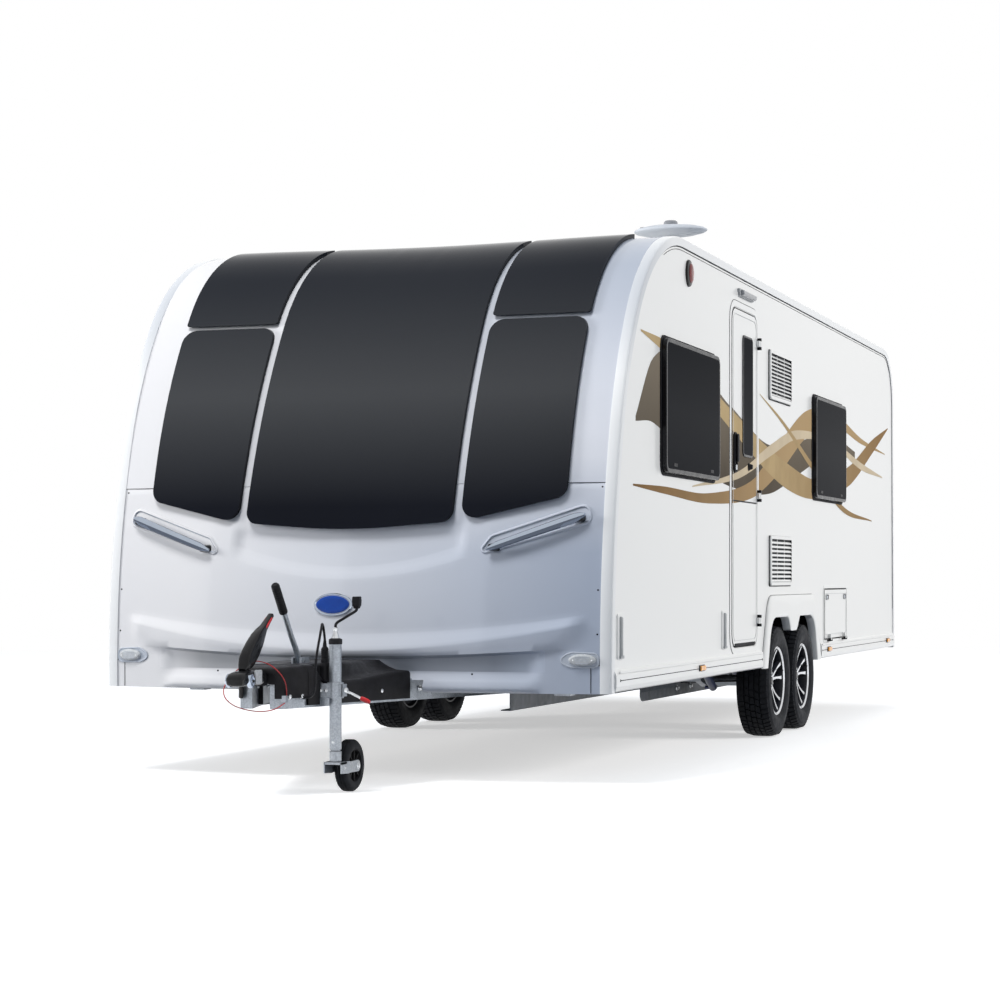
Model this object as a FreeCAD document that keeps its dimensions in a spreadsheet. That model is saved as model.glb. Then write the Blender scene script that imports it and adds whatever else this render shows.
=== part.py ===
import FreeCAD, Part
import math
import os
import re
import Sketcher
from FreeCAD import Placement, Rotation, Vector

# A twin-axle travel caravan, parked on its road wheels and its jockey wheel.
# +Z is up, the drawbar points to -Y and the entrance door is on the +X side, the nearside.
# The origin is on the ground, under the middle of the caravan's overall box.
# Lengthwise places called stations are measured back from the front edge of the side walls,
# and front_y is where that edge lies in the caravan's own frame.

doc = FreeCAD.newDocument("Caravan")

# ---------------------------------------------------------------- driving dimensions

SIZES = (
    # name, millimetres or degrees, what it is
    ("drawbar_length", 1170, "coupling tip to the front edge of the side walls"),
    ("body_length", 6820, "side walls, along the bottom"),
    ("bumper_depth", 50, "rear bumper, behind the rear panel"),
    ("body_width", 2280, "over the side walls"),
    ("floor_underside", 435, "height of the floor's underside"),
    ("floor_thickness", 40, "floor sandwich"),
    ("wall", 30, "side wall sandwich"),
    ("shell", 32, "front, roof and rear sandwich"),
    ("roof_inside", 2348, "height of the roof's underside"),
    ("nose_bottom", 375, "height of the front panel's lower edge"),
    ("nose_start", 495, "height where the nose begins to lean back"),
    ("nose_radius", 3480, "lower arc of the nose"),
    ("nose_turn", 16.4, "turn of the lower arc, degrees"),
    ("brow_radius", 1650, "middle arc of the nose"),
    ("brow_turn", 36.4, "slope where the middle arc ends, degrees"),
    ("nose_bow", 121, "how far the front's middle is ahead of its sides, at the bottom"),
    ("middle_radius", 1962, "lower arc of the nose, along the centreline"),
    ("middle_turn", 17.1, "turn of that arc, degrees"),
    ("crest_radius", 3390, "middle arc of the nose, along the centreline"),
    ("crest_turn", 32.3, "slope where that arc ends, degrees"),
    ("rear_lean", 1.5, "lean of the rear panel, degrees"),
    ("rear_radius", 330, "top corner of the rear panel"),
    ("nose_seam", 1241, "height of the seam across the front"),
    ("band_proud", 12, "lower panel's band and lips, proud of it"),
    ("recess_depth", 20, "lower panel's recess over the lips"),
    ("glass_recess", 9, "lower panel's recess under the glass"),
    ("roof_front", 1040, "station of the seam between front and roof"),
    ("roof_rear", 360, "length of the rear panel's return on the roof"),
    ("rail_proud", 6, "corner rails, proud of the skins"),
    ("rail_width", 42, "corner rails, width of each leg"),
    ("trim_gap", 2, "between a corner rail and a skirt or the bumper"),
    # wheels
    ("axle_station", 3500, "station midway between the axles"),
    ("axle_spacing", 650, "between the two axles"),
    ("tyre_radius", 298, "tyre, unloaded"),
    ("tyre_width", 185, "tyre section"),
    ("rim_radius", 184, "rim flange"),
    ("bead_radius", 177, "where the tyre sits on the rim"),
    ("tyre_inset", 7, "tyre's outer face, outside the side wall"),
    ("hub_radius", 30, "stub axle"),
    ("running_gap", 0.05, "radial gap of shafts in their bores"),
    # wheel arches
    ("arch_half", 657, "half the opening, along the bottom"),
    ("arch_half_top", 555, "half the opening, at the top corners"),
    ("arch_top", 638, "height of the opening"),
    ("arch_web", 560, "height of the web between the wheels"),
    ("arch_web_half", 80, "half the web, along its foot"),
    ("arch_web_root", 165, "half the web, at its root"),
    ("arch_band", 118, "moulding above the opening"),
    ("arch_side", 110, "moulding beside the opening"),
    ("arch_proud", 16, "moulding, proud of the side wall"),
    ("box_length", 1440, "wheel box"),
    ("box_depth", 262, "wheel box, inwards from the side wall"),
    ("box_top", 735, "height of the wheel box"),
    ("box_sheet", 6, "wheel box plastic"),
    # skirts
    ("skirt_bottom", 382, "height of the skirt's lower edge"),
    ("skirt_top", 475, "height of the skirt's upper edge"),
    ("skirt_proud", 14, "skirt, proud of the side wall"),
    ("skirt_gap", 6, "between a skirt and an arch moulding"),
    # front glazing
    ("glass_proud", 20, "front glazing, proud of the front panel"),
    ("centre_half", 467, "half the centre panel's width"),
    ("centre_sill", 1047, "height of the centre panel's lowest point"),
    ("inner_sill", 1082, "height of the sills beside the centre panel"),
    ("outer_sill", 1185, "height of the side panes' outer corners"),
    ("pane_gap", 40, "between the centre panel and the side panes"),
    ("pane_outer", 945, "outer edge of the side panes"),
    ("pane_top", 1957, "height of the side panes' top edge"),
    ("brow_gap", 18, "between side panes and brow panels"),
    ("brow_end", 985, "station where the glazing ends on the roof"),
    ("glazing_overlap", 32, "glazing, past the hole that it covers"),
    # side windows and door
    ("window_proud", 28, "side windows, proud of the wall"),
    ("window_overlap", 22, "side windows, past the hole that they cover"),
    ("window_corner", 45, "corner radius of the side windows"),
    ("door_start", 2074, "station of the door's latch edge"),
    ("door_width", 551, "door leaf"),
    ("door_sill", 511, "height of the door's lower edge"),
    ("door_height", 1670, "door leaf"),
    ("door_corner", 70, "corner radius of the door"),
    ("leaf_gap", 8, "around the door and the hatch"),
    ("leaf_proud", 4, "door and hatch, proud of the wall"),
    ("door_pane_start", 2289, "station of the door window"),
    ("door_pane_width", 219, "door window"),
    ("door_pane_sill", 1458, "height of the door window's sill"),
    ("door_pane_height", 608, "door window"),
    ("hinge_out", 18, "hinge axes, out from the wall"),
    ("hinge_pin", 3, "radius of a hinge pin"),
    ("hinge_barrel", 6.5, "radius of a hinge barrel"),
    ("hinge_length", 60, "one hinge"),
    ("hinge_ear", 15, "one of the two fixed ears of a hinge"),
    ("hinge_foot", 12, "axis to the far edge of an ear's foot"),
    ("hinge_end", 0.3, "between a hinge's knuckle and its ears"),
    ("hatch_start", 4400, "station of the service hatch"),
    ("hatch_width", 700, "service hatch"),
    ("hatch_sill", 492, "height of the hatch's lower edge"),
    ("hatch_height", 290, "service hatch"),
    ("hatch_corner", 18, "corner radius of the hatch"),
    # chassis and drawbar
    ("rail_height", 150, "chassis rail"),
    ("rail_flange", 45, "chassis rail flange"),
    ("rail_sheet", 5, "chassis rail steel"),
    ("rail_spread", 620, "centreline to a rail's outer face"),
    ("rail_start", 240, "station of the rails' front end"),
    ("bar_height", 90, "drawbar member"),
    ("bar_width", 50, "drawbar member"),
    ("bar_back", 700, "station of the drawbar's rear end"),
    ("bar_spread", 530, "centreline to a member, at the rear end"),
    ("bar_nose", 62, "centreline to a member, at the coupling"),
    ("housing_height", 67, "overrun housing, on the drawbar"),
    ("ball_reach", 66, "coupling tip to the towball's centre"),
    ("ball_height", 452, "height of the towball's centre"),
    ("ball_bore", 25.5, "radius of the coupling's cup"),
    ("axle_tube", 50, "half the axle tube's width across flats"),
    ("axle_lead", 150, "axle tube, ahead of its wheels"),
    ("axle_height", 345, "height of the axle tubes"),
    ("arm_width", 36, "axle arm"),
    ("damper_radius", 22, "damper"),
    ("notch_half", 360, "half the front panel's notch for the drawbar"),
    ("fairing_top", 512, "height of the drawbar fairing"),
    ("fairing_gap", 3, "between the fairing and the drawbar"),
    ("fairing_sheet", 4, "fairing plastic"),
    ("fairing_front", 780, "fairing's front end, ahead of the side walls"),
    # jockey wheel
    ("jockey_x", 205, "jockey wheel, from the centreline"),
    ("jockey_station", -672, "station of the jockey stem"),
    ("stem_radius", 24, "outer tube"),
    ("stem_bore", 20.3, "bore of the outer tube"),
    ("leg_radius", 20, "inner tube"),
    ("stem_bottom", 176, "height of the outer tube's foot"),
    ("stem_top", 613, "height of the outer tube's head"),
    ("clamp_bottom", 378, "height of the clamp's lower face"),
    ("clamp_height", 62, "clamp"),
    ("clamp_wall", 9, "clamp ring"),
    ("slide_gap", 0.3, "gap of sliding tubes"),
    ("castor_radius", 104, "jockey wheel"),
    ("castor_width", 54, "jockey wheel"),
    ("castor_trail", 140, "jockey wheel, behind its stem"),
    ("castor_pin", 8, "radius of the jockey wheel's pin"),
    ("fork_gap", 6, "between fork and jockey wheel"),
    ("fork_sheet", 5, "fork steel"),
    # corner steadies
    ("steady_length", 430, "pivot to the foot's middle"),
    ("steady_drop", 52, "pivot below the floor"),
    ("steady_front", 700, "station of the front pivots"),
    ("steady_pin", 8, "radius of a steady's pin"),
)

sheet = doc.addObject("Spreadsheet::Sheet", "dims")
for row, (name, value, note) in enumerate(SIZES, start=1):
    sheet.set("A%d" % row, note)
    sheet.set("B%d" % row, str(value))
    sheet.setAlias("B%d" % row, name)
doc.recompute()

DERIVED = (
    # name, formula, what it is
    ("half", "body_width / 2", "centreline to a side wall's outer face"),
    ("overall", "drawbar_length + body_length + shell + bumper_depth", "overall length"),
    ("front_y", "drawbar_length - overall / 2", "front edge of the side walls"),
    ("front_axle", "axle_station - axle_spacing / 2", "station of the front axle"),
    ("rear_axle", "axle_station + axle_spacing / 2", "station of the rear axle"),
    ("wheel_x", "half + tyre_inset - tyre_width / 2", "centreline to a wheel's middle"),
    ("hinge_x", "half + hinge_out", "centreline to the hinge axes"),
    ("steady_z", "floor_underside - steady_drop", "height of the steadies' pivots"),
    ("ball_station", "ball_reach - drawbar_length", "station of the towball"),
    ("castor_y", "jockey_station + castor_trail", "station of the jockey wheel"),
    ("rail_end", "body_length - 200", "station of the chassis rails' rear end"),
    ("steady_rear", "body_length - 740", "station of the rear steadies' pivots"),
    ("bar_front", "drawbar_length - 250", "drawbar's front end, ahead of the side walls"),
    ("steady_spread", "half - 290", "centreline to a steady"),
    ("damper_x", "half - 340", "centreline to a damper"),
    ("arm_x", "half - 420", "centreline to an axle arm's inner face"),
)
derived = doc.addObject("App::VarSet", "derived")
PLACES = {name: "dims." + name for name, value, note in SIZES}


def formula(words):
    """A formula whose names are looked up in the sheet or among the derived sizes."""
    return re.sub(r"[a-z]\w*", lambda found: PLACES.get(found[0], found[0]), str(words))


for name, words, note in DERIVED:
    derived.addProperty("App::PropertyFloat", name, "Sizes", note)
    derived.setExpression(name, formula(words))
    PLACES[name] = "derived." + name
doc.recompute()


class Sizes:
    """The same sizes as numbers, for shapes that Part's own functions make."""

    def __getattr__(self, name):
        holder = sheet if PLACES[name].startswith("dims") else derived
        return float(getattr(holder, name))


size = Sizes()

# ---------------------------------------------------------------- ways of making shapes


def bind(thing, **formulas):
    for name, words in formulas.items():
        thing.setExpression(name, formula(words))


def place(thing, x, y, z, axis=(0, 0, 1), angle=0):
    """Put a thing at formulas, turned by fixed degrees about an axis through its own origin."""
    thing.Placement = Placement(Vector(), Rotation(Vector(*axis), angle))
    for letter, words in zip("xyz", (x, y, z)):
        thing.setExpression("Placement.Base." + letter, formula(words))
    return thing


def box(name, x, y, z, length, width, height, axis=(0, 0, 1), angle=0):
    thing = doc.addObject("Part::Box", name)
    bind(thing, Length=length, Width=width, Height=height)
    return place(thing, x, y, z, axis, angle)


def rod(name, x, y, z, radius, length, axis=(0, 0, 1), angle=0):
    """A cylinder along +Z, turned about an axis through its foot."""
    thing = doc.addObject("Part::Cylinder", name)
    bind(thing, Radius=radius, Height=length)
    return place(thing, x, y, z, axis, angle)


ALONG_X = {"axis": (0, 1, 0), "angle": 90}
ALONG_Y = {"axis": (1, 0, 0), "angle": -90}


def fuse(name, things):
    thing = doc.addObject("Part::MultiFuse", name)
    thing.Shapes = things
    return thing


def cut(name, base, tools):
    thing = doc.addObject("Part::Cut", name)
    thing.Base = base
    thing.Tool = tools[0] if len(tools) == 1 else fuse(name + "_tools", tools)
    return thing


def group(name, things):
    """Like pieces that don't touch, under one name."""
    thing = doc.addObject("Part::Compound", name)
    thing.Links = things
    return thing


def solid(name, shape):
    """A piece made by Part's own functions, at stations, then moved into the caravan's frame."""
    thing = doc.addObject("Part::Feature", name)
    thing.Shape = shape
    thing.Placement = Placement(Vector(0, size.front_y, 0), Rotation())
    return thing


def sketch_on(body, plane, corners):
    """A closed loop of straight edges; each corner is two formulas, across and up the plane."""
    sketch = body.newObject("Sketcher::SketchObject", body.Name + "_sketch")
    datum = [item for item in body.Origin.OriginFeatures if item.Role == plane][0]
    sketch.AttachmentSupport = (datum, "")
    sketch.MapMode = "FlatFace"
    count = len(corners)
    ring = [
        Vector(math.cos(math.tau * step / count), math.sin(math.tau * step / count), 0)
        for step in range(count + 1)
    ]
    sketch.addGeometry([Part.LineSegment(*pair) for pair in zip(ring, ring[1:])], False)
    sketch.addConstraint(
        [Sketcher.Constraint("Coincident", k, 2, (k + 1) % count, 1) for k in range(count)]
    )
    for k, (across, up) in enumerate(corners):
        for kind, words in (("DistanceX", across), ("DistanceY", up)):
            index = sketch.addConstraint(Sketcher.Constraint(kind, -1, 1, k, 1, 1.0))
            sketch.setExpression("Constraints[%d]" % index, formula(words))
    return sketch


def pad(name, plane, corners, depth, rounds=()):
    """A plate. rounds is a list of (corner numbers, radius formula)."""
    body = doc.addObject("PartDesign::Body", name)
    sketch = sketch_on(body, plane, corners)
    plate = body.newObject("PartDesign::Pad", name + "_pad")
    plate.Profile = sketch
    bind(plate, Length=depth)
    sketch.Visibility = False
    for numbers, radius in rounds:
        doc.recompute()
        base = body.Tip
        flat = sketch.Placement
        spots = [flat.multVec(sketch.Geometry[k].StartPoint) for k in numbers]
        normal = flat.Rotation.multVec(Vector(0, 0, 1))
        edges = [
            "Edge%d" % index
            for index, edge in enumerate(base.Shape.Edges, start=1)
            if isinstance(edge.Curve, Part.Line)
            and edge.Curve.Direction.cross(normal).Length < 1e-6
            and any((edge.Vertexes[0].Point - spot).cross(normal).Length < 1e-4 for spot in spots)
        ]
        bend = body.newObject("PartDesign::Fillet", name + "_rounds")
        bend.Base = (base, edges)
        bind(bend, Radius=radius)
    return body


def spin(name, corners):
    """A turned piece about its own Z: each corner is a radius and a height."""
    body = doc.addObject("PartDesign::Body", name)
    sketch = sketch_on(body, "XZ_Plane", corners)
    turned = body.newObject("PartDesign::Revolution", name + "_turned")
    turned.Profile = sketch
    turned.ReferenceAxis = (sketch, ["V_Axis"])
    turned.Angle = 360
    return body


def rectangle(across, up, width, height):
    right = "%s + %s" % (across, width)
    top = "%s + %s" % (up, height)
    return [(across, up), (right, up), (right, top), (across, top)]


kept = []


def keep(thing, label):
    """One piece of the caravan, written under its label."""
    thing.Label = label
    kept.append(thing)
    return thing


def side_word(side):
    return "nearside" if side > 0 else "offside"


def at_side(side, words):
    """The formula of a place across the caravan, on the nearside (1) or the offside (-1)."""
    return "%d * (%s)" % (side, words)


def side_pad(name, side, corners, inner, depth, rounds=()):
    """A plate along one side; its inner face is at the given distance from the centreline."""
    plate = pad(name, "YZ_Plane", corners, depth, rounds)
    near = inner if side > 0 else "-(%s) - (%s)" % (inner, depth)
    return place(plate, near, "front_y", 0)


# ---------------------------------------------------------------- body shell


def along_nose(grow, bulge=0):
    """Centres, radii and end angles of the nose's arcs, grown outwards by grow.

    bulge is 0 at a side wall and 1 along the centreline.
    """
    lower, brow, first, second = [
        side + (middle - side) * bulge
        for side, middle in (
            (size.nose_radius, size.middle_radius),
            (size.brow_radius, size.crest_radius),
            (size.nose_turn, size.middle_turn),
            (size.brow_turn, size.crest_turn),
        )
    ]
    turns = [math.radians(first), math.radians(second), math.pi / 2]
    low = Vector(0, lower - size.nose_bow * bulge, size.nose_start)
    middle = low + Vector(0, -math.cos(turns[0]), math.sin(turns[0])) * (lower - brow)
    rise = math.sin(turns[1])
    crown = (size.roof_inside - middle.z - brow * rise) / (1 - rise)
    high = middle + Vector(0, -math.cos(turns[1]), rise) * (brow - crown)
    radii = [lower + grow, brow + grow, crown + grow]
    return list(zip((low, middle, high), radii, turns))


def arc_edge(centre, radius, start, end):
    """An arc in the lengthwise plane; angles are from straight ahead, towards straight up."""
    spots = [
        centre + Vector(0, -math.cos(angle), math.sin(angle)) * radius
        for angle in (start, (start + end) / 2, end)
    ]
    return Part.Arc(*spots).toShape()


def nose_edges(grow, bulge=0):
    edges = []
    start = 0
    for centre, radius, end in along_nose(grow, bulge):
        edges.append(arc_edge(centre, radius, start, end))
        start = end
    return edges


def body_outline(grow, bottom):
    """The outline of the body seen from the side, grown outwards, down to a height."""
    edges = nose_edges(grow)
    lean = math.radians(size.rear_lean)
    rear_z = size.roof_inside - size.rear_radius
    rear_y = size.body_length - (rear_z - size.floor_underside) * math.tan(lean)
    centre = Vector(0, rear_y - size.rear_radius / math.cos(lean), rear_z)
    corner = arc_edge(centre, size.rear_radius + grow, math.pi / 2, math.pi - lean)
    foot_y = size.body_length + (size.floor_underside - bottom) * math.tan(lean)
    foot = Vector(0, foot_y + grow / math.cos(lean), bottom)
    nose_foot = Vector(0, -grow, bottom)
    spots = [edges[-1].Vertexes[-1].Point, corner.Vertexes[0].Point]
    edges.append(Part.makeLine(*spots))
    edges.append(corner)
    edges.append(Part.makeLine(corner.Vertexes[-1].Point, foot))
    edges.append(Part.makeLine(foot, nose_foot))
    edges.append(Part.makeLine(nose_foot, edges[0].Vertexes[0].Point))
    return Part.Wire(Part.__sortEdges__(edges))


def slab(x0, x1, y0, y1, z0, z1):
    return Part.makeBox(x1 - x0, y1 - y0, z1 - z0, Vector(x0, y0, z0))


SPLIT = size.roof_front + 600  # station from which the roof is straight


SECTIONS = (-1.05, -0.55, 0, 0.55, 1.05)  # where the nose's sections lie, in half widths


def nose_section(grow, bottom, across):
    """The closed outline of the nose at one section, back to the station called SPLIT."""
    edges = nose_edges(grow, 1 - across**2)
    foot = edges[0].Vertexes[0].Point
    crown = edges[-1].Vertexes[-1].Point
    ring = [
        crown,
        Vector(0, SPLIT, crown.z),
        Vector(0, SPLIT, bottom),
        Vector(0, foot.y, bottom),
        foot,
    ]
    edges += [Part.makeLine(*pair) for pair in zip(ring, ring[1:])]
    wire = Part.Wire(edges)
    wire.translate(Vector(across * size.half, 0, 0))
    return wire


def envelope(grow, half, bottom):
    """The body as one block, out to half on each side: its front is bowed, its rear straight."""
    face = Part.Face(body_outline(grow, bottom))
    high = size.roof_inside + grow + 100
    far = size.body_length + grow + 200
    straight = face.extrude(Vector(2 * half, 0, 0))
    straight.translate(Vector(-half, 0, 0))
    straight = straight.common(slab(-half, half, SPLIT, far, bottom - 1, high))
    wires = [nose_section(grow, bottom, across) for across in SECTIONS]
    bowed = Part.makeLoft(wires, True, False)
    bowed = bowed.common(slab(-half, half, -1000, SPLIT, bottom - 1, high))
    return straight.fuse(bowed).removeSplitter()


def rounded(spots):
    """A closed wire through (across, up, radius) corners in the X-Z plane, rounded by arcs."""
    edges = []
    count = len(spots)
    ends = []
    for k, (x, z, radius) in enumerate(spots):
        here = Vector(x, 0, z)
        before = Vector(spots[k - 1][0], 0, spots[k - 1][1]) - here
        after = Vector(spots[(k + 1) % count][0], 0, spots[(k + 1) % count][1]) - here
        half_turn = (math.pi - before.getAngle(after)) / 2
        run = radius * math.tan(half_turn)
        entry = here + before.normalize() * run
        leave = here + after.normalize() * run
        middle = here + (before + after).normalize() * (radius / math.cos(half_turn) - radius)
        edges.append(Part.Arc(entry, middle, leave).toShape())
        ends.append((entry, leave))
    for k in range(count):
        edges.append(Part.makeLine(ends[k - 1][1], ends[k][0]))
    return Part.Wire(Part.__sortEdges__(edges))


def prism(spots, y0, y1):
    """The rounded outline in the X-Z plane, carried from one station to another."""
    face = Part.Face(rounded(spots))
    face.translate(Vector(0, y0, 0))
    return face.extrude(Vector(0, y1 - y0, 0))


half = size.half
inner_half = half - size.wall
LOW = size.nose_bottom - 50
outer_block = envelope(size.shell, half, size.nose_bottom)
inner_block = envelope(0, half, LOW)
glass_block = envelope(size.shell + size.glass_proud, half, size.nose_bottom)
skin = outer_block.cut(inner_block)
REAR = size.body_length - size.roof_rear
TOP = size.roof_inside + 300


def front_pane(inset, x0, x1, low_in, low_out, top, corner):
    """Corners of a side pane's outline between two distances from the centreline."""
    lean = (low_out - low_in) / (x1 - x0)
    return [
        (x0 + inset, low_in + inset * (1 + lean), corner),
        (x1 - inset, low_out + inset * (1 - lean), corner),
        (x1 - inset, top - inset, corner),
        (x0 + inset, top - inset, corner),
    ]


def mirrored(spots):
    return [(-x, z, radius) for x, z, radius in reversed(spots)]


def centre_pane(inset, top):
    low = size.inner_sill + inset
    return [
        (-size.centre_half + inset, low, 55),
        (0, size.centre_sill + inset, 2600),
        (size.centre_half - inset, low, 55),
        (size.centre_half - inset, top, 40),
        (-size.centre_half + inset, top, 40),
    ]


pane_inner = size.centre_half + size.pane_gap
side_pane = (pane_inner, size.pane_outer, size.inner_sill, size.outer_sill, size.pane_top)
overlap = size.glazing_overlap
window_holes = [
    prism(centre_pane(overlap, size.pane_top - overlap), -500, size.brow_end),
    prism(front_pane(overlap, *side_pane, 40), -500, size.brow_end),
    prism(mirrored(front_pane(overlap, *side_pane, 40)), -500, size.brow_end),
]

upper = skin.common(slab(-half, half, -500, size.roof_front, size.nose_seam, TOP))
keep(solid("front_upper", upper.cut(Part.makeCompound(window_holes))), "front_panel_upper")
lower = skin.common(slab(-half, half, -500, size.roof_front, LOW, size.nose_seam))
lower = lower.cut(slab(-size.notch_half, size.notch_half, -500, 300, LOW, size.floor_underside))

# the lower panel's relief: a proud band, a recess under it, a proud lip on each side of the
# drawbar and a shallow recess under the glass
BAND = [
    # across, up, corner radius
    (-1010, 652, 10),
    (0, 410, 4100),
    (1010, 652, 10),
    (1010, 699, 10),
    (0, 543, 6300),
    (-1010, 699, 10),
]
RECESS = [
    (-760, 448, 20),
    (760, 448, 20),
    (868, 540, 30),
    (600, 518, 900),
    (0, 496, 8000),
    (-600, 518, 900),
    (-868, 540, 30),
]
LIP = [(370, 340, 4), (880, 340, 4), (800, 446, 12), (370, 446, 4)]
UNDER_GLASS = [
    (-512, 996, 20),
    (0, 802, 1300),
    (512, 996, 20),
    (505, 1040, 20),
    (0, 1020, 2600),
    (-505, 1040, 20),
]
proud_block = envelope(size.shell + size.band_proud, half, size.nose_bottom).cut(inner_block)
proud_parts = [proud_block.common(prism(spots, -500, 300)) for spots in (BAND, LIP, mirrored(LIP))]
deep_block = outer_block.cut(envelope(size.shell - size.recess_depth, half, LOW))
shallow_block = outer_block.cut(envelope(size.shell - size.glass_recess, half, LOW))
lower = lower.cut(deep_block.common(prism(RECESS, -500, 300)))
lower = lower.cut(shallow_block.common(prism(UNDER_GLASS, -500, 300)))
lower = lower.fuse(proud_parts).removeSplitter()
keep(solid("front_lower", lower), "front_panel_lower")
roof_shape = skin.common(slab(-half, half, size.roof_front, REAR, size.nose_seam, TOP))
rear_shape = skin.common(slab(-half, half, REAR, size.body_length + 300, LOW, TOP))

glazing = glass_block.cut(outer_block)
brow_low = size.pane_top + size.brow_gap
brow_pane = [
    (pane_inner, brow_low, 12),
    (size.pane_outer, brow_low, 12),
    (size.pane_outer + 15, TOP, 12),
    (pane_inner, TOP, 12),
]
centre_glass = glazing.common(prism(centre_pane(0, TOP), -500, size.brow_end))
side_glass = [
    glazing.common(prism(outline, -500, size.brow_end))
    for outline in (front_pane(0, *side_pane, 60), mirrored(front_pane(0, *side_pane, 60)))
]
brow_glass = [
    glazing.common(prism(outline, -500, size.brow_end))
    for outline in (brow_pane, mirrored(brow_pane))
]
front_glass = Part.makeCompound([centre_glass] + side_glass + brow_glass)
keep(solid("front_glass", front_glass), "front_glazing")

wide = half + size.rail_proud
band = envelope(size.shell + size.rail_proud, wide, size.nose_bottom)
band = band.cut(envelope(size.shell + size.rail_proud - size.rail_width, wide, LOW))
band = band.cut(outer_block)
rails = [
    band.common(slab(*edge, -1000, size.body_length + 500, LOW, TOP))
    for edge in ((half - size.rail_width, wide), (-wide, size.rail_width - half))
]
keep(solid("corner_rail_pair", Part.makeCompound(rails)), "corner_rails")

# ---------------------------------------------------------------- side walls, floor, roof

SIDE_WINDOWS = (
    # side, start, length, sill, height
    (1, 744, 989, 1312, 590),
    (1, 4053, 921, 1308, 584),
    (-1, 744, 989, 1312, 590),
    (-1, 2460, 700, 1400, 492),
    (-1, 4053, 921, 1308, 584),
)


def arch_outline(spread, rise, bottom):
    """The wheel arch opening, widened by spread and raised by rise."""
    half_bottom = "(arch_half + %s)" % spread
    half_top = "(arch_half_top + %s)" % spread
    return [
        ("axle_station - " + half_bottom, bottom),
        ("axle_station + " + half_bottom, bottom),
        ("axle_station + " + half_top, "arch_top + %s" % rise),
        ("axle_station - " + half_top, "arch_top + %s" % rise),
    ]


def side_wall(side):
    word = side_word(side)
    x0, x1 = sorted((side * inner_half, side * half))
    sheet_shape = inner_block.common(
        slab(x0, x1, -500, size.body_length + 300, size.floor_underside, TOP)
    )
    base = solid("side_sheet_" + word, sheet_shape)
    depth = "wall + 20"
    from_x = "half - wall - 10"
    tools = []
    for k, (at, start, length, sill, height) in enumerate(SIDE_WINDOWS):
        if at != side:
            continue
        near = from_x if side > 0 else "-half - 10"
        tools.append(
            box(
                "window_hole_%d" % k,
                near,
                "front_y + %d + window_overlap" % start,
                "%d + window_overlap" % sill,
                depth,
                "%d - 2 * window_overlap" % length,
                "%d - 2 * window_overlap" % height,
            )
        )
    arch = arch_outline(14, 14, "floor_underside - 20")
    tools.append(side_pad("arch_hole_" + word, side, arch, from_x, depth, [((2, 3), "190")]))
    if side > 0:
        door = rectangle(
            "door_start - leaf_gap",
            "door_sill - leaf_gap",
            "door_width + 2 * leaf_gap",
            "door_height + 2 * leaf_gap",
        )
        tools.append(
            side_pad("door_hole", 1, door, from_x, depth, [((0, 1, 2, 3), "door_corner + leaf_gap")])
        )
        hatch = rectangle(
            "hatch_start - leaf_gap",
            "hatch_sill - leaf_gap",
            "hatch_width + 2 * leaf_gap",
            "hatch_height + 2 * leaf_gap",
        )
        tools.append(
            side_pad("hatch_hole", 1, hatch, from_x, depth, [((0, 1, 2, 3), "hatch_corner")])
        )
    keep(cut("wall_" + word, base, tools), "side_wall_" + word)


for side in (1, -1):
    side_wall(side)


def wheel_box(side, inset, name):
    """The block of a wheel box, or of its inside when inset by the sheet."""
    depth = "(box_depth - %s)" % inset
    near = "half - wall - " + depth if side > 0 else "-half + wall"
    return box(
        name,
        near,
        "front_y + axle_station - box_length / 2 + %s" % inset,
        "floor_underside",
        depth,
        "box_length - 2 * %s" % inset,
        "box_top - floor_underside - %s" % inset,
    )


floor_shape = inner_block.common(
    slab(
        -inner_half,
        inner_half,
        -500,
        size.body_length + 300,
        size.floor_underside,
        size.floor_underside + size.floor_thickness,
    )
)
floor_sheet = solid("floor_sheet", floor_shape)
floor_holes = [wheel_box(side, 0, "floor_hole_" + side_word(side)) for side in (1, -1)]
keep(cut("floor_cut", floor_sheet, floor_holes), "floor_panel")
boxes = [
    cut(
        "wheel_box_" + side_word(side),
        wheel_box(side, 0, "wheel_box_outside_" + side_word(side)),
        [wheel_box(side, "box_sheet", "wheel_box_inside_" + side_word(side))],
    )
    for side in (1, -1)
]
keep(group("wheel_box_pair", boxes), "wheel_boxes")

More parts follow.
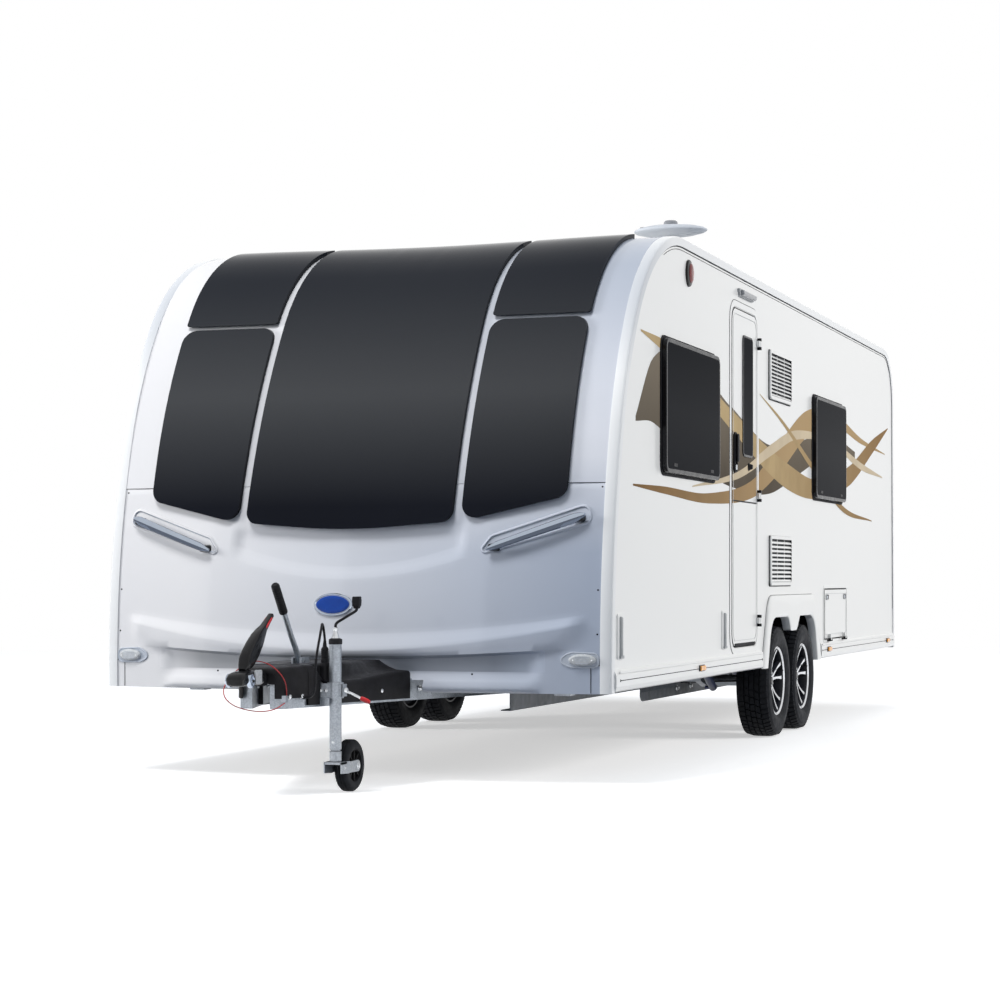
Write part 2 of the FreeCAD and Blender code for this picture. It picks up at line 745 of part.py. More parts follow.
ROOFLIGHTS = (
    # label, station of its middle, width across, length along, height of frame
    ("front", 2150, 760, 540, 34),
    ("rear", 5050, 430, 430, 34),
)
LID_LIFT = 6
LID_SHEET = 26
roof_base = solid("roof_sheet", roof_shape)
roof_holes = []
frames = []
lids = []
for label, station, across, along, rise in ROOFLIGHTS:
    start = "front_y + %d - %d / 2" % (station, along)
    roof_top = "roof_inside + shell"
    roof_holes.append(
        box(
            "roof_hole_" + label,
            "-%d / 2 + 30" % across,
            start + " + 30",
            "roof_inside - 10",
            "%d - 60" % across,
            "%d - 60" % along,
            "shell + 20",
        )
    )
    frame_out = box(
        "frame_out_" + label, "-%d / 2" % across, start, roof_top, across, along, rise
    )
    frame_in = box(
        "frame_in_" + label,
        "-%d / 2 + 30" % across,
        start + " + 30",
        roof_top + " - 10",
        "%d - 60" % across,
        "%d - 60" % along,
        "%d + 20" % rise,
    )
    frame = cut("rooflight_frame_" + label, frame_out, [frame_in])
    pin_y = start + " - 14"
    pin_z = roof_top + " + %d" % (rise + 8)
    ears = [
        box(
            "lid_ear_%s_%d" % (label, k),
            "%d * %d - 20" % (k, across / 2 - 60),
            pin_y + " - 6",
            roof_top,
            12,
            "20",
            "%d + 14" % rise,
        )
        for k in (-1, 1)
    ]
    pins = [
        rod(
            "lid_pin_%s_%d" % (label, k),
            "%d * %d - 20" % (k, across / 2 - 60),
            pin_y,
            pin_z,
            "hinge_pin",
            "40",
            **ALONG_X,
        )
        for k in (-1, 1)
    ]
    frames.append(fuse("rooflight_fixed_" + label, [frame] + ears + pins))
    lid_z = roof_top + " + %d" % (rise + LID_LIFT)
    lid = pad(
        "lid_plate_" + label,
        "XY_Plane",
        rectangle("-%d / 2 - 8" % across, 2, "%d + 16" % across, "%d + 8" % along),
        LID_SHEET,
        [((0, 1, 2, 3), "40")],
    )
    place(lid, 0, start, lid_z)
    knuckles = []
    for k in (-1, 1):
        at_x = "%d * %d - 6" % (k, across / 2 - 60)
        knuckles.append(
            rod("lid_knuckle_%s_%d" % (label, k), at_x, pin_y, pin_z, "hinge_barrel", "24", **ALONG_X)
        )
        knuckles.append(box("lid_strap_%s_%d" % (label, k), at_x, pin_y, pin_z, "24", "26", "6"))
    bore = rod(
        "lid_bore_" + label,
        "-%d / 2" % across,
        pin_y,
        pin_z,
        "hinge_pin + running_gap",
        across,
        **ALONG_X,
    )
    whole = fuse("lid_whole_" + label, [lid] + knuckles)
    lids.append(keep(cut("lid_" + label, whole, [bore]), "rooflight_lid_" + label))
keep(cut("roof_cut", roof_base, roof_holes), "roof_panel")
keep(group("rooflight_frame_pair", frames), "rooflight_frames")

# rear panel, window, bumper and lamps
rear_window = [(-620, 1290, 60), (620, 1290, 60), (620, 1880, 60), (-620, 1880, 60)]
rear_hole = [(-590, 1320, 40), (590, 1320, 40), (590, 1850, 40), (-590, 1850, 40)]
FAR = size.body_length + 500
rear_shape = rear_shape.cut(prism(rear_hole, REAR + 100, FAR))
keep(solid("rear_shell", rear_shape), "rear_panel")
keep(solid("rear_glazing", glazing.common(prism(rear_window, REAR + 100, FAR))), "rear_window")
bumper = pad(
    "bumper",
    "YZ_Plane",
    [
        ("body_length + shell - 8", "nose_bottom"),
        ("body_length + shell + bumper_depth", "nose_bottom + 30"),
        ("body_length + shell + bumper_depth", "nose_bottom + 200"),
        ("body_length + shell - 8", "nose_bottom + 240"),
    ],
    "body_width - 2 * (rail_width + trim_gap)",
)
place(bumper, "-half + rail_width + trim_gap", "front_y", 0)
bumper_cut = cut("bumper_trimmed", bumper, [solid("bumper_seat", outer_block)])
keep(bumper_cut, "rear_bumper")

# ---------------------------------------------------------------- side fittings

panes = [
    side_pad(
        "side_pane_%d" % k,
        side,
        rectangle(start, sill, length, height),
        "half",
        "window_proud",
        [((0, 1, 2, 3), "window_corner")],
    )
    for k, (side, start, length, sill, height) in enumerate(SIDE_WINDOWS)
]
keep(group("side_panes", panes), "side_windows")

arches = []
bands = []
for side in (1, -1):
    word = side_word(side)
    outer = [
        ("axle_station - arch_half - arch_side", "skirt_bottom"),
        ("axle_station + arch_half + arch_side", "skirt_bottom"),
        ("axle_station + arch_half_top", "arch_top + arch_band"),
        ("axle_station - arch_half_top", "arch_top + arch_band"),
    ]
    moulding = side_pad(
        "arch_plate_" + word, side, outer, "half", "arch_proud", [((2, 3), "300")]
    )
    hole = [
        ("axle_station - arch_half", "skirt_bottom - 20"),
        ("axle_station + arch_half", "skirt_bottom - 20"),
        ("axle_station + arch_half_top", "arch_top"),
        ("axle_station + arch_web_root", "arch_top"),
        ("axle_station + arch_web_half", "arch_web"),
        ("axle_station - arch_web_half", "arch_web"),
        ("axle_station - arch_web_root", "arch_top"),
        ("axle_station - arch_half_top", "arch_top"),
    ]
    opening = side_pad(
        "arch_opening_" + word,
        side,
        hole,
        "half - 10",
        "arch_proud + 20",
        [((2, 7), "190"), ((3, 4, 5, 6), "45")],
    )
    arches.append(cut("arch_" + word, moulding, [opening]))

    arch_end = "arch_half + arch_side + skirt_gap"
    skirt_end = "rail_width - rail_proud - shell + trim_gap"
    runs = (
        ("front", skirt_end, "axle_station - (%s)" % arch_end),
        ("rear", "axle_station + " + arch_end, "body_length - (%s)" % skirt_end),
    )
    for label, start, end in runs:
        profile = (
            # out from the centreline, height
            ("half", "skirt_bottom"),
            ("half + skirt_proud - 4", "skirt_bottom + 6"),
            ("half + skirt_proud", "skirt_bottom + 22"),
            ("half + skirt_proud", "skirt_top - 24"),
            ("half + 3", "skirt_top"),
            ("half", "skirt_top"),
        )
        corners = [(at_side(-side, out), height) for out, height in profile]
        strip = pad("skirt_%s_%s" % (word, label), "XZ_Plane", corners, "%s - (%s)" % (end, start))
        place(strip, 0, "front_y + " + start, 0, angle=180)
        bands.append(strip)
keep(group("arch_pair", arches), "wheel_arches")
keep(group("skirt_set", bands), "skirts")



def hinge_ear(name, x, y, z, axis=(0, 0, 1), angle=0):
    """A fixed ear: its foot is on the wall beyond the axis, and its eye is clear of the leaf."""
    outline = [
        ("-hinge_out", 2),
        ("-hinge_out", "hinge_foot"),
        ("hinge_barrel", "hinge_foot"),
        ("hinge_barrel", "-hinge_barrel"),
        ("-hinge_barrel", "-hinge_barrel"),
        ("-hinge_barrel", 2),
    ]
    return place(pad(name, "XY_Plane", outline, "hinge_ear"), x, y, z, axis, angle)


KNUCKLE_START = "hinge_ear + hinge_end"
KNUCKLE_LENGTH = "hinge_length - 2 * (hinge_ear + hinge_end)"
STRAP = "hinge_out - leaf_proud + hinge_pin"

# entrance door: hinges on its rear edge
door_outline = rectangle("door_start", "door_sill", "door_width", "door_height")
leaf = side_pad(
    "door_leaf", 1, door_outline, "half - wall + leaf_proud", "wall", [((0, 1, 2, 3), "door_corner")]
)
pane_outline = rectangle(
    "door_pane_start + 16", "door_pane_sill + 16", "door_pane_width - 32", "door_pane_height - 32"
)
pane_hole = side_pad(
    "door_pane_hole", 1, pane_outline, "half - wall - 20", "wall + 60", [((0, 1, 2, 3), "20")]
)
door_y = "front_y + door_start + door_width + leaf_gap / 2"
HINGES = (600, 1240, 2020)
door_knuckles = []
door_pins = []
for k, at_z in enumerate(HINGES):
    knuckle_z = "%d + %s" % (at_z, KNUCKLE_START)
    door_knuckles += [
        rod(
            "door_knuckle_%d" % k, "hinge_x", door_y, knuckle_z, "hinge_barrel", KNUCKLE_LENGTH
        ),
        box(
            "door_strap_%d" % k,
            "half + leaf_proud",
            door_y + " - 30",
            knuckle_z,
            STRAP,
            "26",
            KNUCKLE_LENGTH,
        ),
    ]
    pin = rod("door_pin_%d" % k, "hinge_x", door_y, at_z, "hinge_pin", "hinge_length")
    ears = [
        hinge_ear("door_ear_%d_low" % k, "hinge_x", door_y, at_z),
        hinge_ear(
            "door_ear_%d_high" % k, "hinge_x", door_y, "%d + hinge_length - hinge_ear" % at_z
        ),
    ]
    door_pins.append(fuse("door_hinge_%d" % k, [pin] + ears))
door_bore = rod(
    "door_bore", "hinge_x", door_y, "door_sill", "hinge_pin + running_gap", "door_height"
)
door_blank = fuse("door_blank", [leaf] + door_knuckles)
keep(cut("door_cut", door_blank, [pane_hole, door_bore]), "door")
door_glass = side_pad(
    "door_glass",
    1,
    rectangle("door_pane_start", "door_pane_sill", "door_pane_width", "door_pane_height"),
    "half + leaf_proud",
    "6",
    [((0, 1, 2, 3), "30")],
)
keep(door_glass, "door_window")
handle = side_pad(
    "handle_block",
    1,
    rectangle("door_start + 12", 1366, 66, 205),
    "half + leaf_proud",
    26,
    [((0, 1, 2, 3), "14")],
)
keep(handle, "door_handle")

# service hatch: hinged along its lower edge
hatch_leaf = side_pad(
    "hatch_leaf",
    1,
    rectangle("hatch_start", "hatch_sill", "hatch_width", "hatch_height"),
    "half - wall + leaf_proud",
    "wall",
    [((0, 1, 2, 3), "hatch_corner - leaf_gap / 2")],
)
hatch_z = "hatch_sill - leaf_gap / 2"
hatch_knuckles = []
hatch_pins = []
for k, offset in enumerate(("90", "hatch_width - 90 - hinge_length")):
    start = "front_y + hatch_start + " + offset
    knuckle_y = start + " + " + KNUCKLE_START
    hatch_knuckles += [
        rod(
            "hatch_knuckle_%d" % k,
            "hinge_x",
            knuckle_y,
            hatch_z,
            "hinge_barrel",
            KNUCKLE_LENGTH,
            **ALONG_Y,
        ),
        box(
            "hatch_strap_%d" % k,
            "half + leaf_proud",
            knuckle_y,
            hatch_z + " + 4",
            STRAP,
            KNUCKLE_LENGTH,
            "26",
        ),
    ]
    pin = rod(
        "hatch_pin_%d" % k, "hinge_x", start, hatch_z, "hinge_pin", "hinge_length", **ALONG_Y
    )
    high_end = start + " + hinge_length - hinge_ear"
    ears = [
        hinge_ear("hatch_ear_%d_front" % k, "hinge_x", start, hatch_z, **ALONG_Y),
        hinge_ear("hatch_ear_%d_rear" % k, "hinge_x", high_end, hatch_z, **ALONG_Y),
    ]
    hatch_pins.append(fuse("hatch_hinge_%d" % k, [pin] + ears))
hatch_bore = rod(
    "hatch_bore",
    "hinge_x",
    "front_y + hatch_start",
    hatch_z,
    "hinge_pin + running_gap",
    "hatch_width",
    **ALONG_Y,
)
hatch_blank = fuse("hatch_blank", [hatch_leaf] + hatch_knuckles)
keep(cut("hatch_cut", hatch_blank, [hatch_bore]), "service_hatch")
keep(group("hinge_set", door_pins + hatch_pins), "leaf_hinges")

VENTS = (
    # start, sill, length, height
    (2909, 1792, 539, 259),
    (2920, 809, 530, 264),
)
SLATS = 10
vent_list = []
for k, (start, sill, length, height) in enumerate(VENTS):
    plate = pad("vent_%d" % k, "YZ_Plane", rectangle(start, sill, length, height), 14, [((0, 1, 2, 3), "12")])
    place(plate, "half", "front_y", 0)
    doc.recompute()
    pitch = (height - 40.0) / SLATS
    face = [
        n for n, f in enumerate(plate.Tip.Shape.Faces, 1) if f.normalAt(0, 0).x > 0.99 and f.Area > 1e4
    ][0]
    slot = plate.newObject("Sketcher::SketchObject", "vent_slot_%d" % k)
    slot.AttachmentSupport = (plate.Tip, "Face%d" % face)
    slot.MapMode = "FlatFace"
    doc.recompute()
    back = slot.Placement.inverse()
    low = [
        back.multVec(Vector(14, start + 22 + dy, sill + 22 + dz))
        for dy, dz in ((0, 0), (length - 44, 0), (length - 44, pitch * 0.55), (0, pitch * 0.55))
    ]
    slot.addGeometry([Part.LineSegment(low[n], low[(n + 1) % 4]) for n in range(4)], False)
    slot.addConstraint([Sketcher.Constraint("Coincident", n, 2, (n + 1) % 4, 1) for n in range(4)])
    pocket = plate.newObject("PartDesign::Pocket", "vent_pocket_%d" % k)
    pocket.Profile = slot
    pocket.Length = 9
    pattern = plate.newObject("PartDesign::LinearPattern", "vent_slats_%d" % k)
    pattern.Originals = [pocket]
    up = [item for item in plate.Origin.OriginFeatures if item.Role == "Z_Axis"][0]
    pattern.Direction = (up, [""])
    pattern.Length = pitch * (SLATS - 1)
    pattern.Occurrences = SLATS
    plate.Tip = pattern
    vent_list.append(plate)
keep(group("vents", vent_list), "vent_grilles")

lamp_light = side_pad(
    "awning_block",
    1,
    rectangle("door_start + 115", "roof_inside - 98", 358, 40),
    "half",
    30,
    [((0, 1, 2, 3), "12")],
)

SIDE_LAMPS = (
    # start, sill, length, height, foot from the centreline, depth
    (1371, 416, 100, 30, "half + skirt_proud", 12),
    (4440, 416, 100, 30, "half + skirt_proud", 12),
    ("body_length - 340", 416, 100, 30, "half + skirt_proud", 12),
    (1172, "roof_inside - 153", 110, 90, "half", 22),
)
lamps = []
for side in (1, -1):
    for k, (start, sill, length, height, foot, depth) in enumerate(SIDE_LAMPS):
        lamps.append(
            side_pad(
                "side_lamp_%s_%d" % (side_word(side), k),
                side,
                rectangle(start, sill, length, height),
                foot,
                depth,
                [((0, 1, 2, 3), "8")],
            )
        )
edge = size.half - size.rail_width - 4
front_lamp = [
    (edge - 128, 492, 22),
    (edge, 484, 22),
    (edge, 542, 22),
    (edge - 128, 548, 22),
]
raised = envelope(size.shell + 8, half, size.nose_bottom).cut(outer_block)
front_lamps = [raised.common(prism(spots, -500, 300)) for spots in (front_lamp, mirrored(front_lamp))]
lamps.append(solid("front_lamp_pair", Part.makeCompound(front_lamps)))
rear_cluster = [
    (edge - 250, 640, 30),
    (edge - 5, 640, 30),
    (edge - 5, 1010, 30),
    (edge - 250, 1010, 30),
]
rear_raised = envelope(size.shell + 24, half, size.nose_bottom).cut(outer_block)
rear_lamps = [
    rear_raised.common(prism(spots, REAR + 100, FAR)) for spots in (rear_cluster, mirrored(rear_cluster))
]
lamps.append(solid("rear_lamp_pair", Part.makeCompound(rear_lamps)))
keep(group("lamp_set", lamps + [lamp_light]), "lamps")

# grab handles: a bar held off the front panel by a foot at each end
handle_bar = envelope(size.shell + 46, half, size.nose_bottom).cut(envelope(size.shell + 26, half, LOW))
handle_foot = envelope(size.shell + 30, half, size.nose_bottom).cut(outer_block)
bar_line = [(640, 952, 12), (1010, 1083, 14), (1010, 1128, 14), (640, 985, 12)]
foot_lines = (
    [(645, 960, 6), (690, 974, 6), (690, 998, 6), (645, 982, 6)],
    [(950, 1068, 6), (1005, 1088, 6), (1005, 1118, 6), (950, 1098, 6)],
)
grabs = []
for flip in (list, mirrored):
    shape = handle_bar.common(prism(flip(bar_line), -500, 600))
    for foot_line in foot_lines:
        shape = shape.fuse(handle_foot.common(prism(flip(foot_line), -500, 600)))
    grabs.append(shape.removeSplitter())
keep(solid("grab_pair", Part.makeCompound(grabs)), "grab_handles")

# aerial on the nearside front corner of the roof
mast = spin("aerial_mast", [(0, 0), (60, 0), (52, 14), (34, 26), (34, 158), (26, 170), (0, 170)])
place(mast, "half - 190", "front_y + 1630", "roof_inside + shell")
wing_line = [(-185, -60), (-60, -125), (60, -125), (185, -60), (150, 95), (-150, 95)]
wing = pad("aerial_wing", "XY_Plane", wing_line, 52, [((0, 1, 2, 3, 4, 5), "40")])
place(wing, "half - 190", "front_y + 1630", "roof_inside + shell + 92")
keep(fuse("aerial", [mast, wing]), "tv_aerial")

# ---------------------------------------------------------------- chassis

BAR_PLAN = (
    # out from the centreline, station
    ("bar_nose - bar_width / 2", "-bar_front"),
    ("bar_nose + bar_width / 2", "-bar_front"),
    ("bar_spread + bar_width / 2", "bar_back"),
    ("bar_spread - bar_width / 2", "bar_back"),
)
bars = []
for side in (1, -1):
    corners = [(at_side(side, out), station) for out, station in BAR_PLAN]
    bar = pad("bar_" + side_word(side), "XY_Plane", corners, "bar_height")
    place(bar, 0, "front_y", "floor_underside - bar_height")
    bars.append(bar)
keep(bars[1], "drawbar_offside")

# axles: a hexagonal tube, a trailing arm at each end, a stub axle and a brake backplate
AXLES = (("front", "front_axle"), ("rear", "rear_axle"))
dampers = []
tubes = []
for label, station in AXLES:
    hub_y = "front_y + " + station
    flat = "axle_tube / 0.866"
    hexagon = [("%s * cos(%d)" % (flat, turn), "%s * sin(%d)" % (flat, turn)) for turn in range(0, 360, 60)]
    tube = pad("axle_tube_" + label, "YZ_Plane", hexagon, "2 * arm_x + 2")
    place(tube, "-arm_x - 1", hub_y + " - axle_lead", "axle_height")
    pieces = [tube]
    tubes.append(tube)
    for side in (1, -1):
        name = "%s_%s" % (label, side_word(side))
        arm = side_pad(
            "axle_arm_" + name,
            side,
            [
                (station + " - axle_lead - 45", "axle_height + 45"),
                (station + " - axle_lead - 45", "axle_height - 45"),
                (station + " - 20", "tyre_radius - 38"),
                (station + " + 34", "tyre_radius - 34"),
                (station + " + 34", "tyre_radius + 34"),
                (station + " - 30", "tyre_radius + 42"),
            ],
            "arm_x",
            "arm_width",
            [((0, 1, 3, 4), "24")],
        )
        start = "arm_x + 10" if side > 0 else "-(wheel_x + 20)"
        length = "wheel_x + 20 - (arm_x + 10)"
        stub = rod("stub_" + name, start, hub_y, "tyre_radius", "hub_radius", length, **ALONG_X)
        plate_in = "wheel_x - tyre_width / 2 - 26"
        start = plate_in if side > 0 else "-(%s) - 6" % plate_in
        plate = rod("backplate_" + name, start, hub_y, "tyre_radius", 118, 6, **ALONG_X)
        pieces += [arm, stub, plate]

        # damper: from a bracket under the floor, back and down to a pin on the arm
        low_y = "(%s - 95)" % hub_y
        tilt = 180 - math.degrees(math.atan2(265, 133))
        body = rod(
            "damper_body_" + name,
            at_side(side, "damper_x"),
            hub_y + " - 360",
            "floor_underside - 40",
            "damper_radius",
            296,
            (1, 0, 0),
            -tilt,
        )
        start = "arm_x + arm_width" if side > 0 else "-(damper_x + 10)"
        length = "damper_x + 10 - arm_x - arm_width"
        pin = rod("damper_pin_" + name, start, low_y, "floor_underside - 173", 9, length, **ALONG_X)
        ear = box(
            "damper_ear_" + name,
            at_side(side, "damper_x") + " - 20",
            hub_y + " - 385",
            "floor_underside - 58",
            40,
            40,
            58,
        )
        dampers.append(fuse("damper_" + name, [body, pin, ear]))
    keep(fuse("axle_whole_" + label, pieces), "axle_" + label)
keep(group("damper_set", dampers), "dampers")

rails = []
for side in (1, -1):
    top = "floor_underside"
    low = "floor_underside - rail_height"
    profile = (
        # out from the centreline, height
        ("rail_spread - rail_flange", low),
        ("rail_spread", low),
        ("rail_spread", top),
        ("rail_spread - rail_flange", top),
        ("rail_spread - rail_flange", top + " - rail_sheet"),
        ("rail_spread - rail_sheet", top + " - rail_sheet"),
        ("rail_spread - rail_sheet", low + " + rail_sheet"),
        ("rail_spread - rail_flange", low + " + rail_sheet"),
    )
    corners = [(at_side(-side, out), height) for out, height in profile]
    rail = pad("chassis_" + side_word(side), "XZ_Plane", corners, "rail_end - rail_start")
    rails.append(place(rail, 0, "front_y + rail_start", 0, angle=180))
keep(cut("chassis_rail_pair", group("chassis_rail_blanks", rails), tubes), "chassis_rails")

# wheels
for label, station in AXLES:
    for side in (1, -1):
        name = "%s_%s" % (side_word(side), label)
        half_w = "tyre_width / 2"
        tyre = spin(
            "tyre_body_" + name,
            [
                ("bead_radius", "-%s + 16" % half_w),
                ("bead_radius + 18", "-%s + 10" % half_w),
                ("bead_radius + 55", "-%s" % half_w),
                ("bead_radius + 85", "-%s + 3" % half_w),
                ("tyre_radius - 12", "-%s + 14" % half_w),
                ("tyre_radius - 2", "-%s + 32" % half_w),
                ("tyre_radius", "-%s + 60" % half_w),
                ("tyre_radius", "%s - 60" % half_w),
                ("tyre_radius - 2", "%s - 32" % half_w),
                ("tyre_radius - 12", "%s - 14" % half_w),
                ("bead_radius + 85", "%s - 3" % half_w),
                ("bead_radius + 55", half_w),
                ("bead_radius + 18", "%s - 10" % half_w),
                ("bead_radius", "%s - 16" % half_w),
            ],
        )
        place(tyre, at_side(side, "wheel_x"), "front_y + " + station, "tyre_radius", (0, 1, 0), 90 * side)
        keep(tyre, "tyre_" + name)
        rim = spin(
            "rim_body_" + name,
            [
                ("hub_radius + running_gap", "-%s - 12" % half_w),
                ("105", "-%s - 12" % half_w),
                ("105", "-%s + 40" % half_w),
                ("75", "-%s + 46" % half_w),
                ("75", "30"),
                ("bead_radius - 14", "52"),
                ("bead_radius - 14", "-%s + 26" % half_w),
                ("bead_radius", "-%s + 17" % half_w),
                ("bead_radius", "%s - 17" % half_w),
                ("bead_radius - 3", "%s - 8" % half_w),
                ("bead_radius - 14", "%s - 10" % half_w),
                ("bead_radius - 22", "72"),
                ("75", "56"),
                ("34", "60"),
                ("30", "66"),
                ("0", "66"),
                ("0", "40"),
                ("hub_radius + running_gap", "40"),
            ],
        )
        place(rim, at_side(side, "wheel_x"), "front_y + " + station, "tyre_radius", (0, 1, 0), 90 * side)
        keep(rim, "rim_" + name)

flap_y = "front_y + axle_station + box_length / 2 - box_sheet - 6"
flaps = [
    box(
        "mudflap_" + side_word(side),
        "half - wall - 205" if side > 0 else "-half + wall + 5",
        flap_y,
        165,
        200,
        6,
        350,
    )
    for side in (1, -1)
]
keep(group("mudflap_pair", flaps), "mudflaps")

# coupling: housing on the drawbar, shaft, head with a cup that is open below
housing_y = "front_y + ball_station + 204"
housing = box("housing", -55, housing_y, "floor_underside", 110, 360, "housing_height")
shaft_y = "front_y + ball_station + 74"
shaft = rod("shaft", 0, shaft_y, "ball_height + 14", 25, 150, **ALONG_Y)
head = pad(
    "head",
    "YZ_Plane",
    [
        ("-drawbar_length", "ball_height - 14"),
        ("ball_station + 150", "ball_height - 14"),
        ("ball_station + 150", "ball_height + 40"),
        ("ball_station + 40", "ball_height + 52"),
        ("-drawbar_length + 20", "ball_height + 44"),
        ("-drawbar_length", "ball_height + 16"),
    ],
    78,
)
place(head, -39, "front_y", 0)
cup = spin("cup", [(0, -40), ("ball_bore", -40), ("ball_bore", 6), (18, 24), (0, 30)])
place(cup, 0, "front_y + ball_station", "ball_height")
discs = [
    rod(
        "friction_disc_%d" % side,
        at_side(side, "39") if side > 0 else "-53",
        "front_y + ball_station",
        "ball_height + 8",
        27,
        14,
        **ALONG_X
    )
    for side in (1, -1)
]
coupling = fuse("coupling_blank", [housing, shaft, head] + discs)
keep(cut("coupling", coupling, [cup]), "coupling_head")
grip = pad(
    "grip",
    "YZ_Plane",
    [
        ("ball_station + 12", "ball_height + 60"),
        ("ball_station + 40", "ball_height + 52"),
        ("ball_station + 95", "ball_height + 46"),
        ("ball_station + 180", "ball_height + 145"),
        ("ball_station + 290", "ball_height + 245"),
        ("ball_station + 275", "ball_height + 258"),
        ("ball_station + 130", "ball_height + 195"),
        ("ball_station + 30", "ball_height + 110"),
    ],
    46,
)
place(grip, -23, "front_y", 0)
keep(grip, "stabiliser_handle")

lever_turn = math.degrees(math.atan2(240, 320))
housing_top = "floor_underside + housing_height"
lever = rod("lever", 0, housing_y + " + 340", housing_top + " + 10", 10, 392, (1, 0, 0), lever_turn)
lever_foot = box("lever_foot", -22, housing_y + " + 310", housing_top, 44, 80, 30)
keep(fuse("lever_whole", [lever, lever_foot]), "handbrake_lever")

PLUG_X = 150
PLUG_STATION = -650


def fairing_block(name, inset, front, top, bottom):
    """A block over both drawbar members, its sides inset from the fairing's outside."""
    beside = "(bar_width / 2 + fairing_gap + fairing_sheet + 2 - %s)" % inset
    lean = "(bar_spread - bar_nose) / (bar_back + bar_front)"
    at_front = "(bar_nose + (bar_front - (%s)) * %s + %s)" % (front, lean, beside)
    rear = "(nose_bow + shell + 1 - %s)" % inset
    at_rear = "(bar_nose + (bar_front - %s) * %s + %s)" % (rear, lean, beside)
    corners = [
        ("-" + at_front, "-(%s)" % front),
        (at_front, "-(%s)" % front),
        (at_rear, "-" + rear),
        ("-" + at_rear, "-" + rear),
    ]
    block = pad(name, "XY_Plane", corners, "%s - (%s)" % (top, bottom))
    return place(block, 0, "front_y", bottom)


fairing_out = fairing_block("fairing_out", "0", "fairing_front", "fairing_top", "floor_underside - 83")
fairing_in = fairing_block(
    "fairing_in",
    "fairing_sheet",
    "fairing_front + 10",
    "fairing_top - fairing_sheet",
    "floor_underside - 93",
)
lever_slot = box("lever_slot", -32, "front_y - 660", "fairing_top - 20", 64, 170, 40)
clamp_notch = box(
    "clamp_notch",
    "jockey_x - 75",
    "front_y + jockey_station - 40",
    320,
    80,
    80,
    "clamp_bottom + clamp_height - 315"
)
fairing = cut("fairing_cut", fairing_out, [fairing_in, lever_slot, clamp_notch])
plug_park = rod("plug_park", PLUG_X, "front_y + %d" % PLUG_STATION, "fairing_top - 1", 21, 4)
keep(fuse("fairing_whole", [fairing, plug_park]), "drawbar_fairing")

# ---------------------------------------------------------------- jockey wheel

jockey_y = "front_y + jockey_station"
ring = rod("clamp_ring", "jockey_x", jockey_y, "clamp_bottom", "stem_radius + clamp_wall", "clamp_height")
lug = box("clamp_lug", 140, jockey_y + " - 32", "clamp_bottom", 40, 64, "clamp_height")
clamp_bore = rod(
    "clamp_bore",
    "jockey_x",
    jockey_y,
    "clamp_bottom - 5",
    "stem_radius + slide_gap",
    "clamp_height + 10",
)
clamp_lever = rod(
    "clamp_lever",
    "jockey_x + stem_radius + 4",
    jockey_y,
    "clamp_bottom + clamp_height / 2",
    6,
    130,
    (0, 1, 0),
    112,
)
clamp_blank = fuse("clamp_blank", [ring, lug, clamp_lever])
keep(cut("clamp", clamp_blank, [clamp_bore, bars[0]]), "jockey_clamp")

stem = rod("stem", "jockey_x", jockey_y, "stem_bottom", "stem_radius", "stem_top - stem_bottom")
stem_hole = rod(
    "stem_hole", "jockey_x", jockey_y, "stem_bottom - 5", "stem_bore", "stem_top - stem_bottom - 5"
)
stem_tube = cut("stem_tube", stem, [stem_hole])
screw = rod("screw", "jockey_x", jockey_y, "stem_top - 1", 9, 60)
crank_arm = rod("crank_arm", "jockey_x", jockey_y, "stem_top + 52", 6, 118, (0, 1, 0), 55)
crank_knob = rod("crank_knob", "jockey_x + 92", jockey_y, "stem_top + 112", 16, 52)
keep(fuse("jockey_stem_whole", [stem_tube, screw, crank_arm, crank_knob]), "jockey_stem")

leg_foot = "stem_bottom - 46"
leg_bore = "leg_radius - 8"
leg = spin(
    "leg",
    [
        (leg_bore + " + running_gap", 0),
        ("stem_radius", 0),
        ("stem_radius", 40),
        ("leg_radius", 45),
        ("leg_radius", 400),
        (0, 400),
        (0, 70),
        (leg_bore + " + running_gap", 70),
    ],
)
place(leg, "jockey_x", jockey_y, leg_foot)
keep(leg, "jockey_leg")

yoke = "castor_width / 2 + fork_gap"
spigot = rod("spigot", "jockey_x", jockey_y, leg_foot + " - 12", leg_bore, 80)
bridge = box(
    "bridge",
    "jockey_x - (%s) - fork_sheet" % yoke,
    jockey_y + " - 30",
    leg_foot + " - 12",
    "2 * (%s + fork_sheet)" % yoke,
    56,
    10,
)
cheeks = [
    box(
        "cheek_%d" % side,
        "jockey_x + (%s)" % (yoke if side > 0 else "-(%s) - fork_sheet" % yoke),
        jockey_y + " - 30",
        "castor_radius - 24",
        "fork_sheet",
        "castor_trail + 54",
        50,
    )
    for side in (1, -1)
]
castor_pin = rod(
    "castor_axle",
    "jockey_x - (%s) - fork_sheet - 3" % yoke,
    "front_y + castor_y",
    "castor_radius",
    "castor_pin",
    "2 * (%s + fork_sheet + 3)" % yoke,
    **ALONG_X
)
keep(fuse("fork", [spigot, bridge, castor_pin] + cheeks), "jockey_fork")

